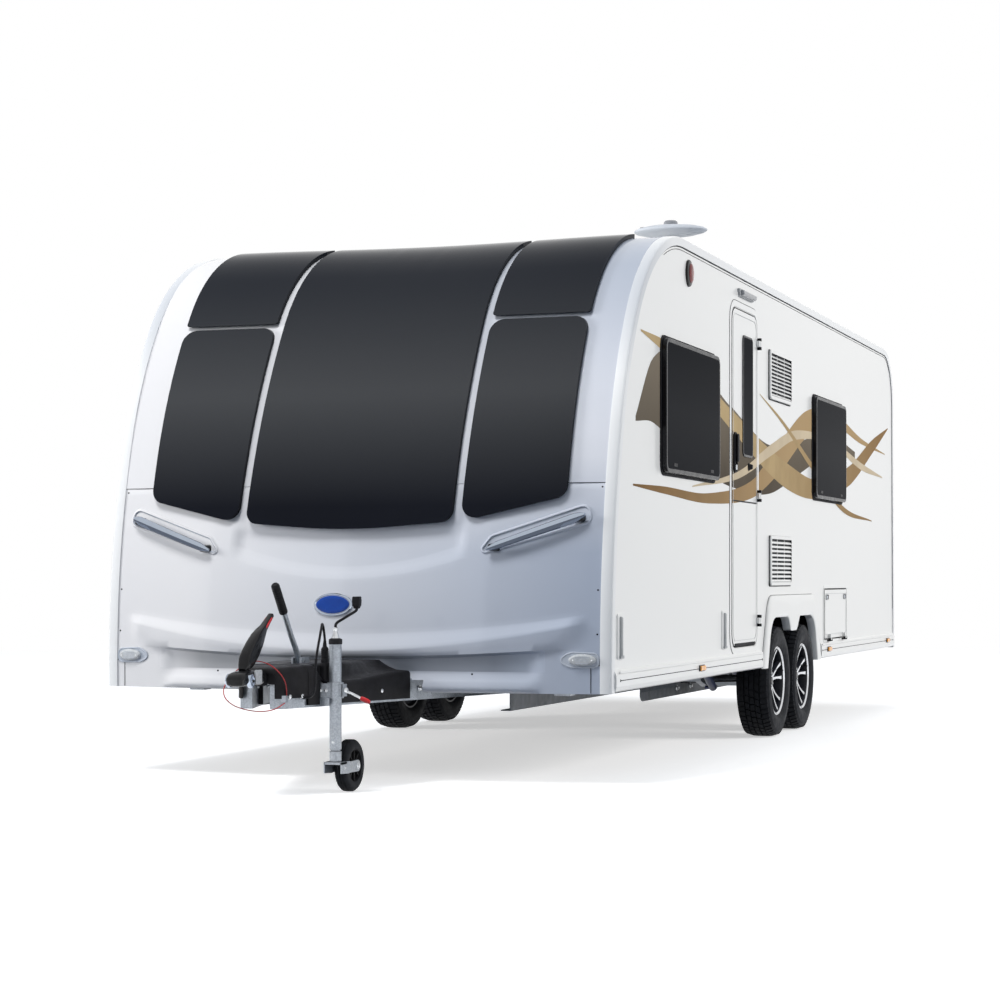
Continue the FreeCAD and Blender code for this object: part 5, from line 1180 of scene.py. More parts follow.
def side_trim(side, name):
    """Lines and screws of the skirt, and the two round grey pads for an awning's poles."""
    place = on_side(side)
    skirt = on_side(side, SKIRT_OUT)
    form = Form()
    for start, end in SKIRT_RUNS:
        strip(form, skirt, [(start + 0.03, SKIRT_LINE), (end - 0.03, SKIRT_LINE)],
              0.0032, 0.0006, "shadow")
        strip(form, skirt, [(start + 0.012, 0.462), (end - 0.012, 0.462)], 0.010, 0.0016, "white")
        for back in (start + 0.022, end - 0.022):
            form.lathe([(0, 0.0), (0, 0.006), (0.0012, 0.0055), (0.002, 0.0)],
                       skirt(back, SKIRT_LINE, 0), (side, 0, 0), "shadow", 12)
    piece("skirt_lines_" + name, form, "caravan")

    form = Form()
    for back, low, high in AWNING_PADS:
        base = block_outline(back - 0.040, low - 0.006, back + 0.058, high + 0.012, 0.014, 5)
        plate(form, place, base, "white", [(0, 0), (0, 0.003), (0.002, 0.005)])
        rings = []
        for z in (low, low + 0.006, high - 0.006, high):
            tight = 0.6 if z in (low, high) else 1.0
            rings.append([place(back + 0.013 * tight * math.cos(turn), z,
                                0.005 + 0.011 * tight * math.sin(turn))
                          for turn in (math.pi * n / 10 for n in range(11))])
        form.loft(rings, "pad_grey")
        form.box(place(back - 0.016, low - 0.002, 0.004), place(back + 0.030, low + 0.010, 0.013),
                 "pad_grey")
    piece("awning_pads_" + name, form, "caravan", sharp=40)


for_both_sides(side_trim)

GRAPHIC = (
    # finish, lift in tenths of a millimetre, (station, height, half width) along the ribbon
    ("taupe", 3, ((0.34, 1.52, 0.01), (0.62, 1.66, 0.14), (1.2, 1.64, 0.24), (2.0, 1.50, 0.20),
                  (2.9, 1.42, 0.13), (3.7, 1.52, 0.09), (4.5, 1.64, 0.07), (5.4, 1.62, 0.02))),
    ("bronze", 5, ((0.30, 1.24, 0.004), (0.80, 1.235, 0.016), (1.6, 1.225, 0.024),
                   (2.5, 1.30, 0.045), (3.2, 1.50, 0.080), (3.9, 1.72, 0.075), (4.7, 1.80, 0.040),
                   (5.6, 1.72, 0.018), (6.5, 1.68, 0.003))),
    ("gold", 7, ((0.42, 1.90, 0.004), (0.85, 1.86, 0.028), (1.6, 1.72, 0.040), (2.6, 1.52, 0.060),
                 (3.4, 1.40, 0.070), (4.2, 1.36, 0.055), (5.2, 1.48, 0.060), (6.0, 1.70, 0.045),
                 (6.62, 1.86, 0.004))),
    ("sand", 9, ((1.30, 1.27, 0.003), (2.2, 1.36, 0.018), (3.0, 1.53, 0.030), (3.6, 1.64, 0.026),
                 (4.6, 1.66, 0.016), (5.6, 1.56, 0.022), (6.4, 1.52, 0.004))),
    ("gold", 10, ((2.7, 1.80, 0.002), (3.3, 1.68, 0.012), (4.0, 1.50, 0.020), (5.0, 1.27, 0.018),
                  (6.0, 1.22, 0.003))),
)
RIBBON_STEP = 0.04
FILM_UNIT = 1e-4


def graphic(side, name):
    """Plain ribbons of film that cross the wall, and the door where they pass over it."""
    wall = Form()
    leaf = Form()
    for finish, lift, table in GRAPHIC:
        highs = [(back, z + half) for back, z, half in table]
        lows = [(back, z - half) for back, z, half in table]
        start, end = table[0][0], table[-1][0]
        cuts = [DOOR[0] + 0.001, DOOR[2] - 0.001] if side > 0 else []
        places = sorted(
            [start + RIBBON_STEP * n for n in range(int((end - start) / RIBBON_STEP))]
            + [end] + [cut for cut in cuts if start < cut < end]
        )
        for first, last in zip(places, places[1:]):
            if last - first < 0.0002:
                continue
            on_door = side > 0 and DOOR[0] < (first + last) / 2 < DOOR[2]
            place = on_side(side, LEAF_PROUD if on_door else 0)
            corners = [(first, lows), (last, lows), (last, highs), (first, highs)]
            (leaf if on_door else wall).add(
                [place(back, curve(edge, back), lift * FILM_UNIT) for back, edge in corners],
                [(0, 1, 2, 3)], finish)
    piece("side_ribbons_" + name, wall, "caravan")
    if leaf.faces:
        piece("door_ribbons", leaf, "door")


for_both_sides(graphic)

ARCH_MIDDLE = 3.500
ARCH_STEPS = 120
ARCH_INNER = ((0.080, 0.562, 0.030), (0.150, 0.640, 0.060), (0.562, 0.640, 0.165), (0.657, 0.378, 0))
ARCH_OUTER = ((0.02, 0.757, 0), (0.615, 0.757, 0.130), (0.765, 0.378, 0))
ARCH_PROFILE = (
    # share of the way from the outer edge to the inner, lift
    (0.0, 0.0), (0.0, 0.008), (0.08, 0.0145), (0.35, 0.0160), (0.80, 0.0160), (0.94, 0.0150),
    (1.0, 0.0110), (1.0, -0.030), (0.93, -0.030), (0.90, 0.0),
)


def mirrored(half_line):
    return [(-u, v, radius) for u, v, radius in reversed(half_line)] + list(half_line)


def spaced(line, count):
    """A line cut into count equal lengths."""
    lengths = [0.0]
    for a, b in zip(line, line[1:]):
        lengths.append(lengths[-1] + (Vector(b) - Vector(a)).length)
    spots = []
    for n in range(count + 1):
        reach = lengths[-1] * n / count
        k = max(i for i in range(len(lengths)) if lengths[i] <= reach + 1e-9)
        k = min(k, len(line) - 2)
        part = (reach - lengths[k]) / (lengths[k + 1] - lengths[k])
        spots.append(tuple(Vector(line[k]).lerp(Vector(line[k + 1]), part)))
    return spots


def arch(side, name):
    """The moulding over both wheels, with its tongue between them."""
    inside = spaced(fillet(mirrored(ARCH_INNER), 8, closed=False), ARCH_STEPS)
    outside = spaced(fillet(mirrored(ARCH_OUTER), 10, closed=False), ARCH_STEPS)
    place = on_side(side)
    form = Form()
    form.loft([
        [place(ARCH_MIDDLE + u0 + (u1 - u0) * share, v0 + (v1 - v0) * share, lift)
         for share, lift in ARCH_PROFILE]
        for (u0, v0), (u1, v1) in zip(outside, inside)
    ], "white")
    moulding = piece("arch_moulding_" + name, form, "caravan", sharp=60)
    form = Form()
    strip(form, place, [(ARCH_MIDDLE + u, v) for u, v in outside[1:-1]], 0.0045, 0.0010, "shadow")
    piece("arch_seam_" + name, form, "caravan")
    return moulding


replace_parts(arch(1, "nearside"), "wheel_arches")
arch(-1, "offside")

# ---------------------------------------------------------------- hitch

ALONG_X = Vector((1, 0, 0))
ALONG_Y = Vector((0, 1, 0))
UP = Vector((0, 0, 1))
BALL_Y = -3.970
BALL_Z = 0.452
BAR_NOSE_Y = -3.791
BAR_LEAN = 0.288
HOUSING_BOLTS = (-3.72, -3.62, -3.52, -3.44)


def bar_middle(y):
    """How far the middle of a drawbar member stands from the centre line at y."""
    return 0.062 + (y - BAR_NOSE_Y) * BAR_LEAN


def bolt(form, spot, axis, radius, depth, finish="steel"):
    """Hexagon head on a washer, standing on spot and facing along axis."""
    washer = [(0, 0), (0, radius * 1.45), (depth * 0.22, radius * 1.4), (depth * 0.22, 0)]
    head = [(depth * 0.2, 0), (depth * 0.2, radius), (depth * 0.9, radius)]
    head += [(depth, radius * 0.8), (depth, 0)]
    form.lathe(washer, spot, axis, finish, 18)
    form.lathe(head, spot, axis, finish, 6)


def rounded_section(half_across, half_tall, power, sides):
    """(across, up) corners of a rounded box section; power 1 is an oval, 0.3 nearly square."""
    spots = []
    for k in range(sides):
        turn = 2 * math.pi * (k + 0.5) / sides
        spots.append(tuple(half * math.copysign(abs(part) ** power, part)
                           for half, part in ((half_across, math.cos(turn)),
                                              (half_tall, math.sin(turn)))))
    return spots


def cast_along(form, rows, finish, power, sides=20, x=0.0):
    """A casting along a line in the YZ plane: rows of (y, z, half width, half height)."""
    rings = []
    for k, (y, z, half, tall) in enumerate(rows):
        back = rows[max(k - 1, 0)]
        ahead = rows[min(k + 1, len(rows) - 1)]
        run = Vector((0, ahead[0] - back[0], ahead[1] - back[1])).normalized()
        lift = Vector((0, -run.z, run.y))
        rings.append([Vector((x + across, y, z)) + lift * up
                      for across, up in rounded_section(half, tall, power, sides)])
    form.loft(rings, finish)


def coupling():
    """Head over its cup, shaft in a gaiter, and a flanged housing with its bolts."""
    form = Form()
    middle, half = 0.4685, 0.0325
    cast_along(form, [
        (-3.764, middle, 0.046, 0.026), (-3.752, middle, 0.053, half),
        (-3.60, middle, 0.053, half), (-3.42, middle, 0.053, half),
        (-3.408, middle, 0.048, 0.028),
    ], "galvanised", 0.35)
    for y in HOUSING_BOLTS:
        for side in (-1, 1):
            bolt(form, Vector((side * 0.0525, y, 0.466)), ALONG_X * side, 0.008, 0.010)
    folds = [(0, 0.018), (0, 0.026)]
    for k in range(6):
        folds += [(0.003 + k * 0.0095, 0.026), (0.0078 + k * 0.0095, 0.034)]
    folds += [(0.062, 0.028), (0.062, 0.018)]
    form.lathe(folds, Vector((0, -3.824, 0.466)), ALONG_Y, "rubber_seal", 28)
    cast_along(form, [
        (-4.0295, 0.457, 0.024, 0.012), (-4.024, 0.459, 0.033, 0.019),
        (-4.006, 0.465, 0.038, 0.026), (BALL_Y, 0.468, 0.039, 0.029),
        (-3.93, 0.470, 0.039, 0.031), (-3.88, 0.467, 0.038, 0.029),
        (-3.845, 0.465, 0.035, 0.027), (-3.820, 0.465, 0.030, 0.023),
    ], "black_gloss", 0.55, 24)
    disc = [(0, 0), (0, 0.025), (0.003, 0.027), (0.013, 0.027), (0.0148, 0.0245)]
    disc += [(0.0148, 0.0175), (0.012, 0.0165), (0.012, 0.0095), (0.0158, 0.0085), (0.0158, 0)]
    for side in (-1, 1):
        middle = Vector((side * 0.037, BALL_Y, BALL_Z + 0.008))
        form.lathe(disc, middle, ALONG_X * side, "chrome", 40)
        middle.x = side * 0.0528
        bolt(form, middle, ALONG_X * side, 0.005, 0.006, "cast")
    # blank cover plate beside the head
    plate_line = block_outline(-3.928, 0.446, -3.872, 0.500, 0.008, 4)
    form.loft([[(x, y, z) for y, z in plate_line] for x in (0.0385, 0.0455)], "clear")
    return form


def coupling_cover():
    """Black shroud over the housing, between the head and the drawbar cover."""
    form = Form()
    rings = []
    for y, half, top in ((-3.806, 0.070, 0.484), (-3.800, 0.084, 0.496), (-3.775, 0.100, 0.503),
                         (-3.72, 0.118, 0.507), (-3.652, 0.1375, 0.510)):
        ring = []
        for wide, high in ((half, top), (half - 0.004, top - 0.004)):
            line = [(wide, 0.385), (wide, high - 0.022), (wide - 0.005, high - 0.009),
                    (wide - 0.016, high - 0.002), (wide - 0.03, high)]
            edge = [(x, y, z) for x, z in line] + [(-x, y, z) for x, z in line[::-1]]
            ring += edge[::-1] if ring else edge
        rings.append(ring)
    form.loft(rings, "black")
    # the front face stands clear of the shaft's gaiter
    face = [(0.070, 0.440), (0.070, 0.470), (0.060, 0.482), (0.042, 0.4835), (0.040, 0.4835)]
    face.append((0.040, 0.440))
    for side in (-1, 1):
        form.loft([[(side * x, y, z) for x, z in face] for y in (-3.8065, -3.802)], "black")
    return form


def handle_body():
    """Two-part lever over the head, with red inserts on both sides."""
    form = Form()
    cast_along(form, [
        (-3.953, 0.499, 0.015, 0.008), (-3.938, 0.512, 0.0215, 0.016),
        (-3.926, 0.526, 0.0225, 0.030), (-3.900, 0.546, 0.023, 0.038),
        (-3.861, 0.578, 0.023, 0.038), (-3.822, 0.612, 0.0215, 0.032),
        (-3.790, 0.637, 0.018, 0.023), (-3.765, 0.655, 0.014, 0.015),
        (-3.725, 0.683, 0.012, 0.011), (-3.694, 0.704, 0.011, 0.009),
    ], "black_gloss", 0.5)
    cast_along(form, [
        (-3.868, 0.536, 0.011, 0.010), (-3.836, 0.560, 0.012, 0.014),
        (-3.800, 0.592, 0.012, 0.013), (-3.776, 0.616, 0.010, 0.009),
    ], "black", 0.5, 16)
    inserts = (
        # across, rows of (y, z, half height)
        (0.0125, ((-3.775, 0.651, 0.005), (-3.745, 0.672, 0.0055), (-3.712, 0.694, 0.004))),
        (0.0118, ((-3.838, 0.560, 0.006), (-3.815, 0.580, 0.007), (-3.790, 0.603, 0.005))),
    )
    for side in (-1, 1):
        for across, rows in inserts:
            cast_along(form, [(y, z, 0.0015, tall) for y, z, tall in rows], "red_plastic", 0.4, 12,
                       side * across)
    return form


def handbrake():
    """Galvanised lever in a foot bracket, with a ribbed black grip."""
    form = Form()
    for x in (-0.022, 0.014):
        form.box((x, -3.456, 0.502), (x + 0.008, -3.376, 0.532), "galvanised")
    form.tube([(-0.024, -3.426, 0.517), (0.024, -3.426, 0.517)], 0.006, "steel", 14)
    foot, top = Vector((0, -3.426, 0.512)), Vector((0, -3.661, 0.8255))
    along = (top - foot).normalized()
    path = [foot, foot + along * 0.03 + UP * 0.004, foot + along * 0.06 + UP * 0.007]
    path += [foot + along * 0.09 + UP * 0.005, foot + along * 0.13, foot + along * 0.27]
    form.tube(path, 0.0115, "galvanised", 18)
    grip = [(0, 0.011), (0, 0.0165), (0.006, 0.0175)]
    for k in range(11):
        rib = k * 0.0105
        grip += [(0.010 + rib, 0.0175), (0.013 + rib, 0.0158), (0.016 + rib, 0.0175)]
    grip += [(0.134, 0.0165), (0.140, 0.012), (0.141, 0)]
    form.lathe(grip, foot + along * 0.250, along, "black", 20)
    return form


FAIRING_FRONT = -3.646
FAIRING_BACK = -3.020
FAIRING_TOP = 0.511
FAIRING_LOW = 0.354
FAIRING_SHEET = 0.005
CLAMP_NOTCH = (-3.578, -3.498)  # the jockey wheel's clamp passes through the nearside wall here
CLAMP_NOTCH_TOP = 0.447
LEVER_SLOT = (-3.526, -3.356)
LEVER_SLOT_HALF = 0.034


def fairing_line(y, side, bottom, centre):
    """(across, up) corners of half the fairing, from its lower edge to its middle."""
    half = bar_middle(y) + 0.033
    tray = min(1, max(0, (y + 3.600) / 0.05))
    rise = min(1, max(0, (y + 3.34) / 0.22))
    shelf = 0.444 + 0.024 * rise
    with_tray = [
        (half, bottom), (half, shelf - 0.012), (half - 0.004, shelf - 0.003),
        (half - 0.012, shelf), (half - 0.032 - 0.03 * rise, shelf + 0.004),
        (half - 0.046 - 0.05 * rise, shelf + 0.016),
        (half - 0.055 - 0.07 * rise, FAIRING_TOP - 0.010),
        (half - 0.064 - 0.075 * rise, FAIRING_TOP),
    ]
    plain = [
        (half, bottom), (half, 0.486), (half - 0.003, 0.494), (half - 0.008, 0.501),
        (half - 0.014, 0.506), (half - 0.021, 0.509), (half - 0.030, 0.5105),
        (half - 0.044, FAIRING_TOP),
    ]
    line = [(a + (c - a) * tray, b + (d - b) * tray) for (a, b), (c, d) in zip(plain, with_tray)]
    return [(side * x, z) for x, z in line + [(centre, FAIRING_TOP)]]


def fairing_half(form, side, y0, y1, bottom, centre, steps):
    """A length of the cover's skin, a sheet thick, from one side's edge to the middle."""
    rings = []
    for k in range(steps + 1):
        y = y0 + (y1 - y0) * k / steps
        outer = fairing_line(y, side, bottom, centre)
        inner = [(x - side * FAIRING_SHEET, z) for x, z in outer[:2]]
        inner += [(x - side * FAIRING_SHEET * 0.6, z - FAIRING_SHEET * 0.8) for x, z in outer[2:-1]]
        inner.append((outer[-1][0], FAIRING_TOP - FAIRING_SHEET))
        rings.append([(x, y, z) for x, z in outer + inner[::-1]])
    form.loft(rings, "black")


def fairing():
    """Cover over the drawbar: a tray along each side, a slot for the levers, a plug holder."""
    form = Form()
    low = FAIRING_LOW
    for side in (-1, 1):
        notch = CLAMP_NOTCH_TOP if side > 0 else low
        for start, end, bottom, centre, steps in (
            (FAIRING_FRONT, CLAMP_NOTCH[0], low, 0, 6),
            (CLAMP_NOTCH[0], LEVER_SLOT[0], notch, 0, 4),
            (LEVER_SLOT[0], CLAMP_NOTCH[1], notch, LEVER_SLOT_HALF, 2),
            (CLAMP_NOTCH[1], LEVER_SLOT[1], low, LEVER_SLOT_HALF, 6),
            (LEVER_SLOT[1], FAIRING_BACK, low, 0, 12),
        ):
            fairing_half(form, side, start, end, bottom, centre, steps)
    front = fairing_line(FAIRING_FRONT, 1, low, 0)
    wall = front[:-1] + [(-x, z) for x, z in front[-2::-1]]
    wall += [(-0.058, low), (-0.058, 0.436), (0.058, 0.436), (0.058, low)]
    form.loft([[(x, y, z) for x, z in wall]
               for y in (FAIRING_FRONT, FAIRING_FRONT + FAIRING_SHEET)], "black")
    holder = [(0, 0), (0, 0.0225), (0.050, 0.0215), (0.054, 0.0235), (0.066, 0.0235)]
    holder += [(0.0685, 0.021), (0.0685, 0)]
    form.lathe(holder, Vector((0.150, -3.516, 0.4465)), UP, "black", 28)
    return form


def hitch_pieces():
    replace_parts(piece("coupling_body", coupling(), "caravan", 0.0012, 40), "coupling_head")
    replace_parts(piece("stabiliser_lever", handle_body(), "caravan", 0.0, 40), "stabiliser_handle")
    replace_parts(piece("handbrake_arm", handbrake(), "caravan", 0.0, 40), "handbrake_lever")
    piece("coupling_cover", coupling_cover(), "caravan", 0.0, 50)
    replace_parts(piece("drawbar_cover", fairing(), "caravan", 0.0, 50), "drawbar_fairing")


JOCKEY_X = 0.205
JOCKEY_Y = -3.538
STEM_TOP = 0.613
CASTOR_Y = -3.398
CASTOR_Z = 0.104
FORK_HALF = 0.038


def collar(form, centre, axis, inner, outer, length, finish, count=28):
    """A ring with a bore, its outer edges eased."""
    ease = min(0.0012, (outer - inner) * 0.3)
    profile = [(0, inner), (0, outer - ease), (ease, outer), (length - ease, outer)]
    profile += [(length, outer - ease), (length, inner)]
    form.lathe(profile, centre, axis, finish, count, ring=True)


CLAMP_LOW = 0.378
CLAMP_HIGH = 0.440
CLAMP_MIDDLE = 0.409
CLAMP_PLATES = ((-3.5695, -3.5645), (-3.5115, -3.5065))


def clamp():
    """Clamp ring with its side plates and bolts, and the lever with a red grip."""
    form = Form()
    low, high = CLAMP_LOW + 0.004, CLAMP_HIGH - 0.004
    (outer_front, _), (_, outer_back) = CLAMP_PLATES
    collar(form, (JOCKEY_X, JOCKEY_Y, CLAMP_LOW), UP, 0.0246, 0.0325, CLAMP_HIGH - CLAMP_LOW,
           "galvanised")
    for y0, y1 in CLAMP_PLATES:
        form.box((0.142, y0, low), (0.198, y1, high), "galvanised")
    form.box((0.136, outer_front, low), (0.1415, outer_back, high), "galvanised")
    for y, way in ((outer_front, -1), (outer_back, 1)):
        for x in (0.156, 0.178):
            bolt(form, Vector((x, y, CLAMP_MIDDLE)), ALONG_Y * way, 0.0055, 0.007)
    # a folded plate with its screw, where the lever turns
    form.box((0.2395, -3.563, 0.385), (0.244, -3.513, 0.433), "galvanised")
    for y0, y1 in ((-3.563, -3.5585), (-3.5175, -3.513)):
        form.box((0.214, y0, 0.385), (0.244, y1, 0.433), "galvanised")
    form.lathe([(0, 0), (0, 0.011), (0.010, 0.011), (0.013, 0.0085), (0.013, 0)],
               (0.244, JOCKEY_Y, CLAMP_MIDDLE), ALONG_X, "steel", 20)
    start, way = Vector((0.250, JOCKEY_Y, 0.404)), Vector((0.927, 0, -0.375))
    arm = [start, start + way * 0.020 + UP * 0.003, start + way * 0.045 + UP * 0.002]
    form.tube(arm + [start + way * 0.075], 0.0052, "steel", 14)
    grip = [(0, 0.0055), (0.002, 0.0082), (0.012, 0.0098), (0.030, 0.0095), (0.040, 0.0075)]
    grip += [(0.043, 0.004), (0.0435, 0)]
    form.lathe(grip, start + way * 0.066, way, "red_plastic", 20)
    return form


OUTER_LOW = 0.176
CRANK = (
    # out from the screw's axis, up from the stem's top
    (0, 0.030), (0, 0.046), (0.0015, 0.054), (0.006, 0.060), (0.012, 0.0645), (0.050, 0.0860),
    (0.080, 0.1030), (0.086, 0.1070), (0.0895, 0.1120), (0.0905, 0.118), (0.0905, 0.136),
)
KNOB = (
    # up from the stem's top, half width
    (0.116, 0.0085), (0.118, 0.011), (0.126, 0.0125), (0.128, 0.0152), (0.146, 0.0160),
    (0.161, 0.0152), (0.1635, 0.0128),
)


def jockey_tube():
    """Outer tube with its dark collar, screw head, bent crank, square knob and leg peg."""
    form = Form()
    top = Vector((JOCKEY_X, JOCKEY_Y, STEM_TOP - 0.034))
    collar(form, (JOCKEY_X, JOCKEY_Y, OUTER_LOW), UP, 0.0203, 0.0239, STEM_TOP - 0.034 - OUTER_LOW,
           "galvanised", 36)
    ring = [(0, 0.018), (0, 0.0238), (0.010, 0.0238), (0.010, 0.018)]
    form.lathe(ring, top, UP, "galvanised", 32)
    cap = [(0.010, 0.018), (0.010, 0.0262), (0.014, 0.0268), (0.028, 0.0268), (0.031, 0.0245)]
    form.lathe(cap + [(0.034, 0.016), (0.034, 0.0)], top, UP, "cast", 32)
    cone = [(0.034, 0.0), (0.034, 0.0155), (0.044, 0.0125), (0.060, 0.0085), (0.066, 0.0105)]
    form.lathe(cone + [(0.074, 0.0105), (0.077, 0.007), (0.077, 0)], top, UP, "steel", 24)
    crank = [(JOCKEY_X + out, JOCKEY_Y, STEM_TOP + up) for out, up in CRANK]
    form.tube(crank, 0.0056, "cast", 14)
    form.loft([[(JOCKEY_X + CRANK[-1][0] + x, JOCKEY_Y + y, STEM_TOP + up)
                for x, y in rounded_section(half, half, 0.35, 28)] for up, half in KNOB], "black")
    bolt(form, Vector((JOCKEY_X, JOCKEY_Y - 0.0225, 0.206)), ALONG_Y * -1, 0.0045, 0.005)
    return form


def jockey_foot():
    """Inner leg's foot collar below the outer tube."""
    form = Form()
    foot = Vector((JOCKEY_X, JOCKEY_Y, 0.130))
    collar(form, foot, UP, 0.0122, 0.0238, 0.040, "galvanised", 32)
    collar(form, foot + UP * 0.041, UP, 0.0122, 0.0196, 0.30, "galvanised", 24)
    return form


def jockey_yoke():
    """Swivel fork: spigot, bridge, two cheeks rounded about the axle, and the axle's nuts."""
    form = Form()
    form.lathe([(0, 0), (0, 0.0117), (0.078, 0.0117), (0.080, 0.0105), (0.080, 0)],
               (JOCKEY_X, JOCKEY_Y, 0.118), UP, "galvanised", 24)
    form.box((JOCKEY_X - FORK_HALF, -3.568, 0.1185), (JOCKEY_X + FORK_HALF, -3.512, 0.128),
             "galvanised")
    outline = [(-3.568, 0.084), (-3.568, 0.1285), (-3.500, 0.1285), (-3.470, 0.126)]
    outline += [(CASTOR_Y + 0.023 * math.sin(turn), CASTOR_Z + 0.023 * math.cos(turn))
                for turn in (math.radians(d) for d in range(0, 181, 15))]
    outline += [(-3.470, 0.082), (-3.500, 0.080)]
    for inner, outer in ((0.0335, FORK_HALF), (-FORK_HALF, -0.0335)):
        form.loft([[(JOCKEY_X + x, y, z) for y, z in outline] for x in (inner, outer)],
                  "galvanised")
    axle = [(JOCKEY_X + x, CASTOR_Y, CASTOR_Z) for x in (-0.040, 0.040)]
    form.tube(axle, 0.0078, "steel", 20)
    for side in (-1, 1):
        face = JOCKEY_X + side * FORK_HALF
        bolt(form, Vector((face, CASTOR_Y, CASTOR_Z)), ALONG_X * side, 0.0095, 0.0065)
        bolt(form, Vector((face, -3.535, 0.105)), ALONG_X * side, 0.005, 0.0045)
    return form


def jockey_tyre():
    """Solid rubber tyre with grooves, on a black hub with ribs."""
    form = Form()
    centre = Vector((JOCKEY_X, CASTOR_Y, CASTOR_Z))

    def ring(profile, finish, count):
        spokes = [Vector((0, math.cos(turn), math.sin(turn))) for turn in turns(count)]
        form.loft([[centre + ALONG_X * along + spoke * radius for spoke in spokes]
                   for along, radius in profile], finish, caps=False, around=True)

    shoulder = [(0.026, 0.064), (0.027, 0.070), (0.027, 0.088), (0.024, 0.096), (0.018, 0.1015)]
    tread = [(-along, radius) for along, radius in shoulder]
    for groove in (-0.012, 0.0, 0.012):
        tread += [(groove - 0.0024, 0.1036), (groove - 0.0014, 0.1006)]
        tread += [(groove + 0.0014, 0.1006), (groove + 0.0024, 0.1036)]
    tread += shoulder[::-1] + [(0.012, 0.062), (-0.012, 0.062)]
    ring(tread, "tyre", 56)
    hub = [(0.024, 0.0655), (0.024, 0.0635), (0.010, 0.060), (0.012, 0.026), (0.029, 0.023)]
    hub += [(0.031, 0.021), (0.031, 0.0082)]
    ring([(-along, radius) for along, radius in hub[::-1]] + hub, "black", 40)
    for turn in turns(8):
        out = Vector((0, math.cos(turn), math.sin(turn)))
        aside = Vector((0, -math.sin(turn), math.cos(turn))) * 0.0022
        for side in (-1, 1):
            low, high = ALONG_X * side * 0.0095, ALONG_X * side * 0.021
            form.loft([
                [spot - aside + low, spot + aside + low, spot + aside + high, spot - aside + high]
                for spot in (centre + out * 0.024, centre + out * 0.061)
            ], "black")
    return form


LEAD_ROUTE = (
    (0.1234, -3.6662, 0.385), (0.156, -3.676, 0.386), (0.182, -3.696, 0.402),
    (0.196, -3.716, 0.432), (0.200, -3.724, 0.472), (0.201, -3.722, 0.522),
    (0.203, -3.709, 0.573), (0.200, -3.681, 0.619), (0.190, -3.643, 0.653),
    (0.175, -3.601, 0.671), (0.161, -3.560, 0.665), (0.152, -3.529, 0.641),
    (0.150, -3.516, 0.606),
)
BREAKAWAY_ROUTE = (
    (0.101, -3.771, 0.397), (0.107, -3.784, 0.432), (0.103, -3.804, 0.467),
    (0.084, -3.821, 0.497), (0.056, -3.830, 0.519), (0.020, -3.833, 0.530),
    (-0.018, -3.834, 0.530), (-0.052, -3.846, 0.512), (-0.076, -3.874, 0.483),
    (-0.087, -3.910, 0.452), (-0.084, -3.946, 0.422), (-0.066, -3.967, 0.392),
    (-0.040, -3.946, 0.364), (-0.002, -3.924, 0.349), (0.038, -3.902, 0.341),
    (0.070, -3.874, 0.342), (0.092, -3.830, 0.351), (0.101, -3.784, 0.371),
)


def cord_curve(name, route, radius, finish, body):
    """A smooth line through the air with the route's points as its control points."""
    line = bpy.data.curves.new(name, "CURVE")
    line.dimensions = "3D"
    line.resolution_u = 16
    line.bevel_depth = radius
    line.bevel_resolution = 5
    line.use_fill_caps = True
    spline = line.splines.new("NURBS")
    spline.points.add(len(route) - 1)
    for point, spot in zip(spline.points, route):
        point.co = (*spot, 1)
    spline.order_u = 3
    spline.use_endpoint_u = True
    line.materials.append(M[finish])
    thing = bpy.data.objects.new(name, line)
    bpy.context.scene.collection.objects.link(thing)
    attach(thing, body)
    return thing


def lead_end():
    """Plug body standing in its holder, with finger ribs and a tapering cable boot."""
    form = Form()
    foot = Vector((0.150, -3.516, 0.5152))
    shell = [(0, 0), (0, 0.0150), (0.004, 0.0158), (0.014, 0.0158)]
    for k in range(5):
        rib = k * 0.007
        shell += [(0.016 + rib, 0.0158), (0.0175 + rib, 0.0142), (0.0205 + rib, 0.0142)]
        shell.append((0.022 + rib, 0.0156))
    shell += [(0.054, 0.0150), (0.060, 0.0125), (0.062, 0.0095)]
    boot = []
    for k in range(4):
        grow = 0.0092 - k * 0.0007
        boot += [(0.064 + k * 0.006, grow), (0.0665 + k * 0.006, grow - 0.0016)]
    form.lathe(shell + boot + [(0.0895, 0.0056), (0.0905, 0.005), (0.0905, 0)], foot, UP, "cable", 28)
    return form


def lead_relief():
    """Tapered relief where the lead leaves the drawbar."""
    form = Form()
    start = Vector((0.1085, -3.6617, 0.385))
    way = Vector((0.957, -0.289, 0.01)).normalized()
    relief = [(0, 0.0), (0, 0.0112), (0.004, 0.0118), (0.008, 0.0112), (0.010, 0.0086)]
    form.lathe(relief + [(0.022, 0.0064), (0.0225, 0.0)], start, way, "cable", 24)
    return form


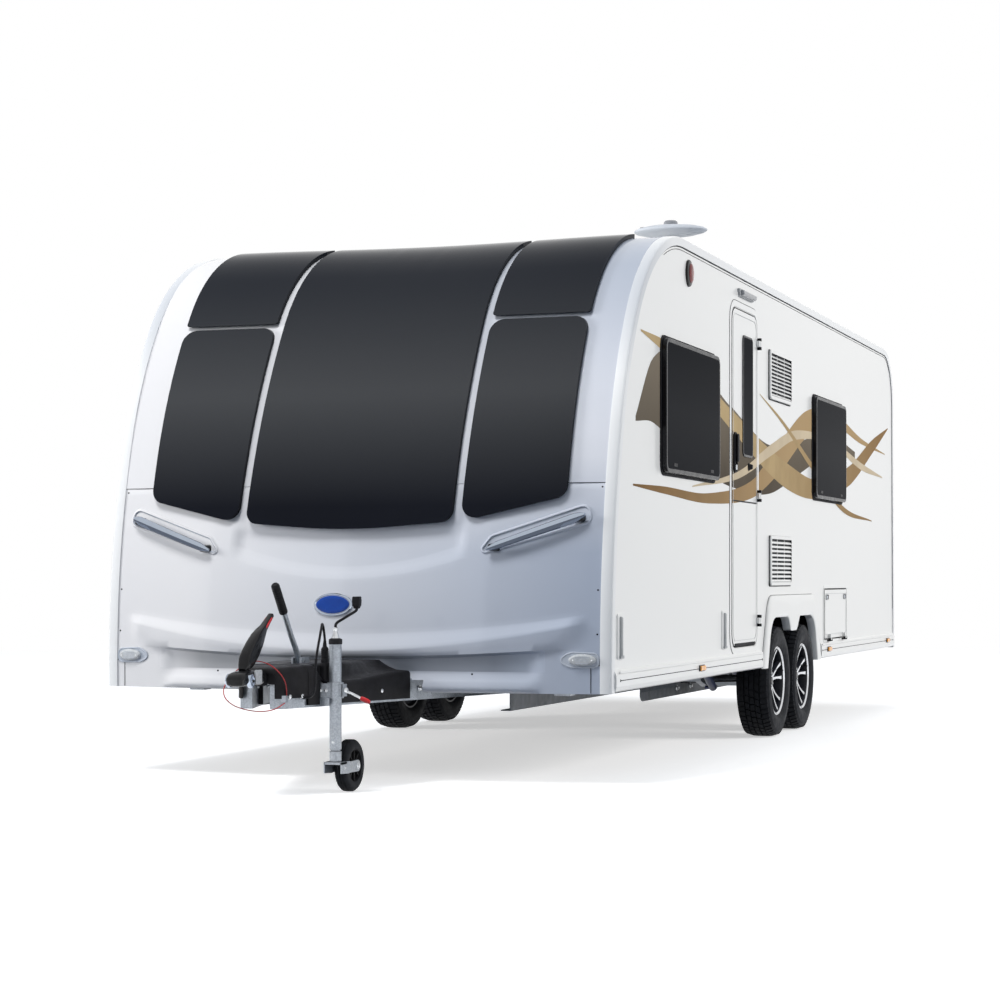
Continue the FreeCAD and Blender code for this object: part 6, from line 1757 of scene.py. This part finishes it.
def jockey_and_cords():
    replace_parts(piece("jockey_clamp_plate", clamp(), "caravan", 0.0008, 40), "jockey_clamp")
    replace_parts(piece("jockey_tube", jockey_tube(), "jockey_stem", 0.0, 40), "jockey_stem")
    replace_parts(piece("jockey_foot", jockey_foot(), "jockey_leg", 0.0, 40), "jockey_leg")
    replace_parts(piece("jockey_yoke", jockey_yoke(), "jockey_fork", 0.0008, 40), "jockey_fork")
    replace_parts(piece("jockey_tyre", jockey_tyre(), "jockey_wheel", 0.0, 35), "jockey_wheel")
    plug = piece("lead_plug_shell", lead_end(), "caravan", 0.0, 40)
    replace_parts(plug, "lead_plug")
    relief = piece("lead_relief", lead_relief(), "caravan", 0.0, 40)
    lead = cord_curve("lead_line", LEAD_ROUTE, 0.005, "cable", "caravan")
    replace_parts(lead, "lead_cable")
    wire = cord_curve("breakaway_line", BREAKAWAY_ROUTE, 0.002, "cable_red", "caravan")
    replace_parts(wire, "breakaway_cable")


def under_hitch():
    """Brake rod with its bracket and adjuster, and the bolts below and beside the drawbar."""
    form = Form()
    rod = [(0.012, y, z) for y, z in ((-3.47, 0.418), (-3.42, 0.395), (-3.36, 0.378),
                                      (-3.20, 0.372), (0.02, 0.330))]
    form.tube(rod, 0.0055, "cast", 12)
    for x in (-0.012, 0.018):
        form.box((x, -3.475, 0.395), (x + 0.008, -3.405, 0.436), "galvanised")
    bolt(form, Vector((0.026, -3.440, 0.412)), ALONG_X, 0.0085, 0.008)
    form.lathe([(0, 0), (0, 0.0105), (0.030, 0.0105), (0.030, 0)], (0.012, -3.345, 0.377),
               ALONG_Y, "steel", 16)
    for y in HOUSING_BOLTS:
        for side in (-1, 1):
            bolt(form, Vector((side * 0.046, y, 0.4355)), UP * -1, 0.0075, 0.014)
    for side in (-1, 1):
        for y in (-3.75, -3.68, -3.20, -2.95):
            spot = Vector((side * (bar_middle(y) + 0.0265), y, 0.392))
            bolt(form, spot, Vector((side * 0.961, -0.277, 0)), 0.0085, 0.010)
    piece("drawbar_fittings", form, "caravan", 0.0, 40)


hitch_pieces()
jockey_and_cords()
under_hitch()
# ---------------------------------------------------------------- outline lines of the sides

ROOF_CORNER = 0.330
REAR_LEAN = math.radians(1.5)
BODY_LENGTH = 6.820
NOSE_STEPS = 45
ROOF_STEPS = 6
CORNER_STEPS = 24
RAIL_FOOT = 0.3775
RAIL_PROFILE = (
    # across, out from the shell's inner face
    (1.098, 0.0335), (1.098, 0.0372), (1.100, 0.0380), (1.136, 0.0380), (1.1405, 0.0371),
    (1.1440, 0.0346), (1.1458, 0.0310), (1.146, 0.0270), (1.146, -0.0035), (1.1455, -0.0040),
    (1.1405, -0.0040), (1.1405, 0.0335),
)


def side_outline(grow, across=HALF, foot=0.455, rear_foot=0.64):
    """(back, up) along the body's edge: up the nose, over the roof and down the rear."""
    low, high = NOSE_SECTIONS[3:]
    part = (across / HALF - low) / (high - low)
    arcs = [(nose_arcs(grow, 1 - edge ** 2), share)
            for edge, share in ((low, 1 - part), (high, part))]
    line = []
    for n in range(NOSE_STEPS + 1):
        spots = [(nose_point(one, 3 * n / NOSE_STEPS), share) for one, share in arcs]
        line.append(tuple(sum(spot[k] * share for spot, share in spots) for k in (0, 1)))
    line.insert(0, (line[0][0], foot))
    corner_z = ROOF_INSIDE - ROOF_CORNER
    edge_y = BODY_LENGTH - (corner_z - FLOOR_Z) * math.tan(REAR_LEAN)
    middle_y = edge_y - ROOF_CORNER / math.cos(REAR_LEAN)
    start = line[-1][0]
    line += [(start + (middle_y - start) * n / ROOF_STEPS, ROOF_INSIDE + grow)
             for n in range(1, ROOF_STEPS)]
    for n in range(CORNER_STEPS + 1):
        turn = math.pi / 2 - (math.pi / 2 - REAR_LEAN) * n / CORNER_STEPS
        line.append((middle_y + (ROOF_CORNER + grow) * math.cos(turn),
                     corner_z + (ROOF_CORNER + grow) * math.sin(turn)))
    rear_lean = (FLOOR_Z - rear_foot) * math.tan(REAR_LEAN)
    line.append((BODY_LENGTH + rear_lean + grow / math.cos(REAR_LEAN), rear_foot))
    return line


def corner_mouldings():
    """The rails that cover the body's long edges, rounded at their outer corner."""
    form = Form()
    lines = [(across, side_outline(grow, across, RAIL_FOOT, RAIL_FOOT))
             for across, grow in RAIL_PROFILE]
    for side in (1, -1):
        form.loft([[(side * across, FRONT_Y + line[n][0], line[n][1]) for across, line in lines]
                   for n in range(len(lines[0][1]))], "alloy_white_painted_shade")
    rails = piece("corner_mouldings", form, "caravan", sharp=30)
    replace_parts(rails, "corner_rails")


def side_lines():
    """The rail's shadow line round each wall, and a second line under the roof."""
    form = Form()
    for side in (1, -1):
        place = on_side(side)
        strip(form, place, side_outline(-0.0065), 0.0042, 0.0012, "shadow")
        under = [spot for spot in side_outline(-0.019) if spot[1] > 2.25]
        strip(form, place, under, 0.0026, 0.0010, "shadow")
    piece("side_wall_lines", form, "caravan")


# ---------------------------------------------------------------- lamps


def on_rear(x, z, lift):
    """A place on the rear panel."""
    return x, FRONT_Y + BODY_LENGTH + (FLOOR_Z - z) * math.tan(REAR_LEAN) + SHELL + lift, z


MARKER_STATIONS = (1.421, 4.490, 6.530)
UPPER_LAMP = (1.227, 2.240)


def side_lamps(form):
    """Amber markers low on the walls, and the oval upper lamp near the front."""
    for side in (1, -1):
        place = on_side(side)
        for back in MARKER_STATIONS:
            base = block_outline(back - 0.050, 0.4165, back + 0.050, 0.4455, 0.006, 3)
            plate(form, place, base, "black", [(0, 0.012), (0, 0.0175), (0.002, 0.0185)])
            for start in (back - 0.046, back + 0.002):
                lens = block_outline(start, 0.4195, start + 0.044, 0.4425, 0.004, 3)
                plate(form, place, lens, "amber", [(0, 0.018), (0, 0.0240), (0.003, 0.0258)])
        back, up = UPPER_LAMP
        plate(form, place, oval(back, up, 0.054, 0.062), "black_gloss", [
            (0, 0), (0, 0.006), (0.004, 0.010), (0.016, 0.012),
        ])
        plate(form, place, oval(back + 0.006, up, 0.036, 0.047), "dark_red", [
            (0, 0.010), (0.002, 0.015), (0.012, 0.0195), (0.024, 0.0212),
        ])


def awning_lamp(form):
    """The grey lamp over the door, wider at its top."""
    body = fillet([(2.191, 2.289, 0.008), (2.545, 2.289, 0.008), (2.512, 2.251, 0.01),
                   (2.224, 2.251, 0.01)], 4)
    plate(form, on_side(1), body, "pad_grey", [(0, 0), (0, 0.010), (0.003, 0.013)])
    lens = fillet([(2.203, 2.284, 0.011), (2.533, 2.284, 0.011), (2.504, 2.2555, 0.012),
                   (2.232, 2.2555, 0.012)], 4)
    plate(form, on_side(1), lens, "lamp_grey", [
        (0, 0.012), (0.001, 0.022), (0.005, 0.028), (0.008, 0.0292),
    ])


REAR_LENSES = (
    # sill, top, finish
    (0.655, 0.757, "clear"), (0.767, 0.883, "red"), (0.893, 0.997, "amber"),
)


def rear_lamps(form):
    """A cluster of three lenses at each side of the rear, the red one with ribs."""
    for side in (1, -1):
        low, high = sorted((side * 0.8445, side * 1.0885))
        base = block_outline(low, 0.6405, high, 1.0095, 0.030, 5)
        plate(form, on_rear, base, "black_gloss", [(0, -0.001), (0, 0.011), (0.003, 0.0135)])
        for sill, top, finish in REAR_LENSES:
            lens = block_outline(low + 0.016, sill, high - 0.016, top, 0.024, 5)
            plate(form, on_rear, lens, finish, [
                (0, 0.012), (0, 0.0185), (0.006, 0.0225), (0.020, 0.0235),
            ])
        for n in range(7):
            line = [(low + 0.034 + 0.0293 * k, 0.789 + 0.0123 * n) for k in range(7)]
            strip(form, on_rear, line, 0.0022, 0.0239, "red")


def lamp_set():
    form = Form()
    side_lamps(form)
    awning_lamp(form)
    rear_lamps(form)
    lamps = piece("lamp_lenses", form, "caravan", sharp=32)
    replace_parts(lamps, "lamps")


# ---------------------------------------------------------------- roof and rear


ROOF_TOP = 2.380
AERIAL_SPOT = (0.950, -1.236)
AERIAL_HALF = (0.1785, 0.124, 0.094)  # across, to the front and to the back
AERIAL_RINGS = (
    # height, share of the size
    (2.4725, 0.42), (2.4760, 0.66), (2.4860, 0.91), (2.4945, 0.992), (2.4985, 1.0), (2.5030, 0.988),
    (2.5120, 0.90), (2.5190, 0.72), (2.5235, 0.45), (2.5245, 0.20),
)


def aerial():
    """Low aerial dish, its edge thin all round, on a mast with a stepped foot."""
    form = Form()
    x, y = AERIAL_SPOT
    form.lathe([(0, 0), (0, 0.0595), (0.004, 0.0600), (0.010, 0.0560), (0.016, 0.0500),
                (0.028, 0.0360), (0.036, 0.0335), (0.095, 0.0335), (0.100, 0.0300), (0.100, 0)],
               (x, y, ROOF_TOP), UP, "white", 40)
    across, front, back = AERIAL_HALF
    rings = []
    for z, scale in AERIAL_RINGS:
        ring = []
        for turn in turns(48):
            c, s = math.cos(turn), math.sin(turn)
            reach = front if s < 0 else back
            ring.append((x + across * scale * c, y + reach * scale * s * (1 - 0.12 * c * c), z))
        rings.append(ring)
    form.loft(rings, "dish_grey")
    form.lathe([(0, 0), (0, 0.0335), (0.040, 0.0335), (0.046, 0.031), (0.050, 0.026), (0.0515, 0)],
               (x, y, 2.498), UP, "lamp_grey", 36)
    strip(form, on_level(2.5238), [(0.80, y), (0.86, -1.238), (0.91, -1.238)], 0.003, 0.0006,
          "shadow")
    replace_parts(piece("aerial_dish", form, "caravan", sharp=40), "tv_aerial")


BUMPER_OUT = 0.050  # how far the bumper stands out from the rear panel


def on_bumper(x, z, lift):
    """A place on the bumper's upright face."""
    return x, FRONT_Y + BODY_LENGTH + SHELL + BUMPER_OUT + lift, z


def rear_fittings():
    """Rear window in its frame, blank number plate, upper lamps and lamps of the plate."""
    form = Form()
    plate(form, on_rear, block_outline(-0.620, 1.290, 0.620, 1.880, 0.055, 8), "glazing_edge", [
        (0, -0.015), (0, 0.0165), (0.0015, 0.0188), (0.016, 0.0190), (0.018, 0.0176),
        (0.026, 0.0176, "side_glazing"), (0.044, 0.0179),
    ])
    for x in (-0.42, 0.42):
        catch = block_outline(x - 0.03, 1.318, x + 0.03, 1.333, 0.005, 3)
        plate(form, on_rear, catch, "black", [(0, 0.017), (0, 0.0188), (0.002, 0.0192)])
    glass = piece("rear_window_framed", form, "caravan", sharp=28)
    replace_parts(glass, "rear_window")

    form = Form()
    seal = block_outline(-0.628, 1.282, 0.628, 1.888, 0.06, 6)
    strip(form, on_rear, seal, 0.012, 0.005, "rubber_seal", True)
    plate(form, on_rear, block_outline(-0.275, 0.655, 0.275, 0.790, 0.012, 4), "black", [
        (0, -0.001), (0, 0.007), (0.006, 0.008), (0.010, 0.0065),
    ])
    plate(form, on_rear, block_outline(-0.260, 0.667, 0.260, 0.778, 0.008, 4), "blank_plate", [
        (0, 0.006), (0, 0.0085), (0.001, 0.0088),
    ])
    for side in (1, -1):
        x = side * 0.32
        plate(form, on_rear, block_outline(x - 0.02, 0.70, x + 0.02, 0.745, 0.006, 3), "black", [
            (0, -0.001), (0, 0.016), (0.003, 0.020, "clear"), (0.005, 0.0205),
        ])
        plate(form, on_rear, oval(side * 0.985, 2.135, 0.048, 0.034), "black_gloss", [
            (0, -0.001), (0, 0.006), (0.006, 0.010, "red"), (0.016, 0.015),
        ])
    strip(form, on_rear, [(-1.080, 1.20), (0, 1.20), (1.080, 1.20)], 0.003, 0.0008, "shadow")
    piece("rear_trim", form, "caravan", sharp=35)


def bumper_trim():
    """The bumper's two reflectors, and lines along its top and bottom."""
    form = Form()
    for side in (1, -1):
        low, high = sorted((side * 0.86, side * 1.05))
        reflector = block_outline(low, 0.470, high, 0.510, 0.008, 4)
        plate(form, on_bumper, reflector, "red", [(0, -0.004), (0, -0.0015), (0.003, -0.0004)])
    for z in (0.436, 0.552):
        strip(form, on_bumper, [(-1.08, z), (0, z), (1.08, z)], 0.003, -0.0002, "shadow")
    piece("bumper_trim", form, "caravan", sharp=35)


def roof_fittings():
    """Two joints across the roof, each with its shadow line, and a flue cap."""
    form = Form()
    roof = on_level(ROOF_TOP)
    for y in (0.75, 3.05):
        for along, width, lift, finish in ((y, 0.030, 0.0022, "white"),
                                           (y - 0.0165, 0.002, 0.0024, "shadow")):
            strip(form, roof, [(-1.09, along), (0, along), (1.09, along)], width, lift, finish)
    form.lathe([(0, 0), (0, 0.058), (0.012, 0.058), (0.016, 0.036), (0.040, 0.036),
                (0.040, 0.060), (0.052, 0.060), (0.058, 0.052), (0.060, 0)],
               (-0.78, 0.55, ROOF_TOP - 0.001), UP, "white", 32)
    piece("roof_trim", form, "caravan", sharp=35)


# ---------------------------------------------------------------- underside


RAIL_FACE = 0.6205
WEB_SHEET = 0.004
WEB_OUTLINE = (
    # along, up
    (-0.605, 0.430), (-0.605, 0.250), (-0.585, 0.228), (-0.560, 0.222), (1.30, 0.222),
    (1.36, 0.235), (1.56, 0.285), (1.56, 0.430),
)
BRAKE_RUNS = (
    ((0.10, 0.10, 0.330), (0.30, 0.13, 0.300), (0.60, 0.20, 0.288), (0.92, 0.25, 0.296)),
    ((0.10, 0.12, 0.330), (0.32, 0.55, 0.262), (0.58, 0.86, 0.270), (0.92, 0.90, 0.296)),
)


def underside():
    """Deep webs of the chassis rails at the axles, with ribs and bolts, and the brake runs."""
    form = Form()
    web_face = RAIL_FACE + WEB_SHEET
    for side in (1, -1):
        form.loft([[(side * x, y, z) for y, z in WEB_OUTLINE] for x in (RAIL_FACE, web_face)], "web")
        for k in range(25):
            y = -0.585 + 0.0262 * k
            rings = []
            for x, grow in ((web_face, 0.0), (RAIL_FACE + 0.012, -0.003)):
                start, end = y + 0.004 - grow, y + 0.014 + grow
                low, high = 0.268 - grow, 0.405 + grow
                rings.append([(side * x, start, low), (side * x, end, low),
                              (side * x, end, high), (side * x, start, high)])
            form.loft(rings, "web")
        for y in (0.115, 0.405, 0.765, 1.060):
            for z in (0.262, 0.395):
                bolt(form, Vector((side * web_face, y, z)), ALONG_X * side, 0.011, 0.012)
        for run in BRAKE_RUNS:
            form.tube([(side * x, y, z) for x, y, z in run], 0.0045, "cable", 10)
    form.box((-0.12, 0.04, 0.318), (0.12, 0.075, 0.346), "galvanised")
    piece("chassis_webs", form, "caravan", 0.0, 40)


corner_mouldings()
side_lines()
lamp_set()
aerial()
rear_fittings()
bumper_trim()
roof_fittings()
underside()
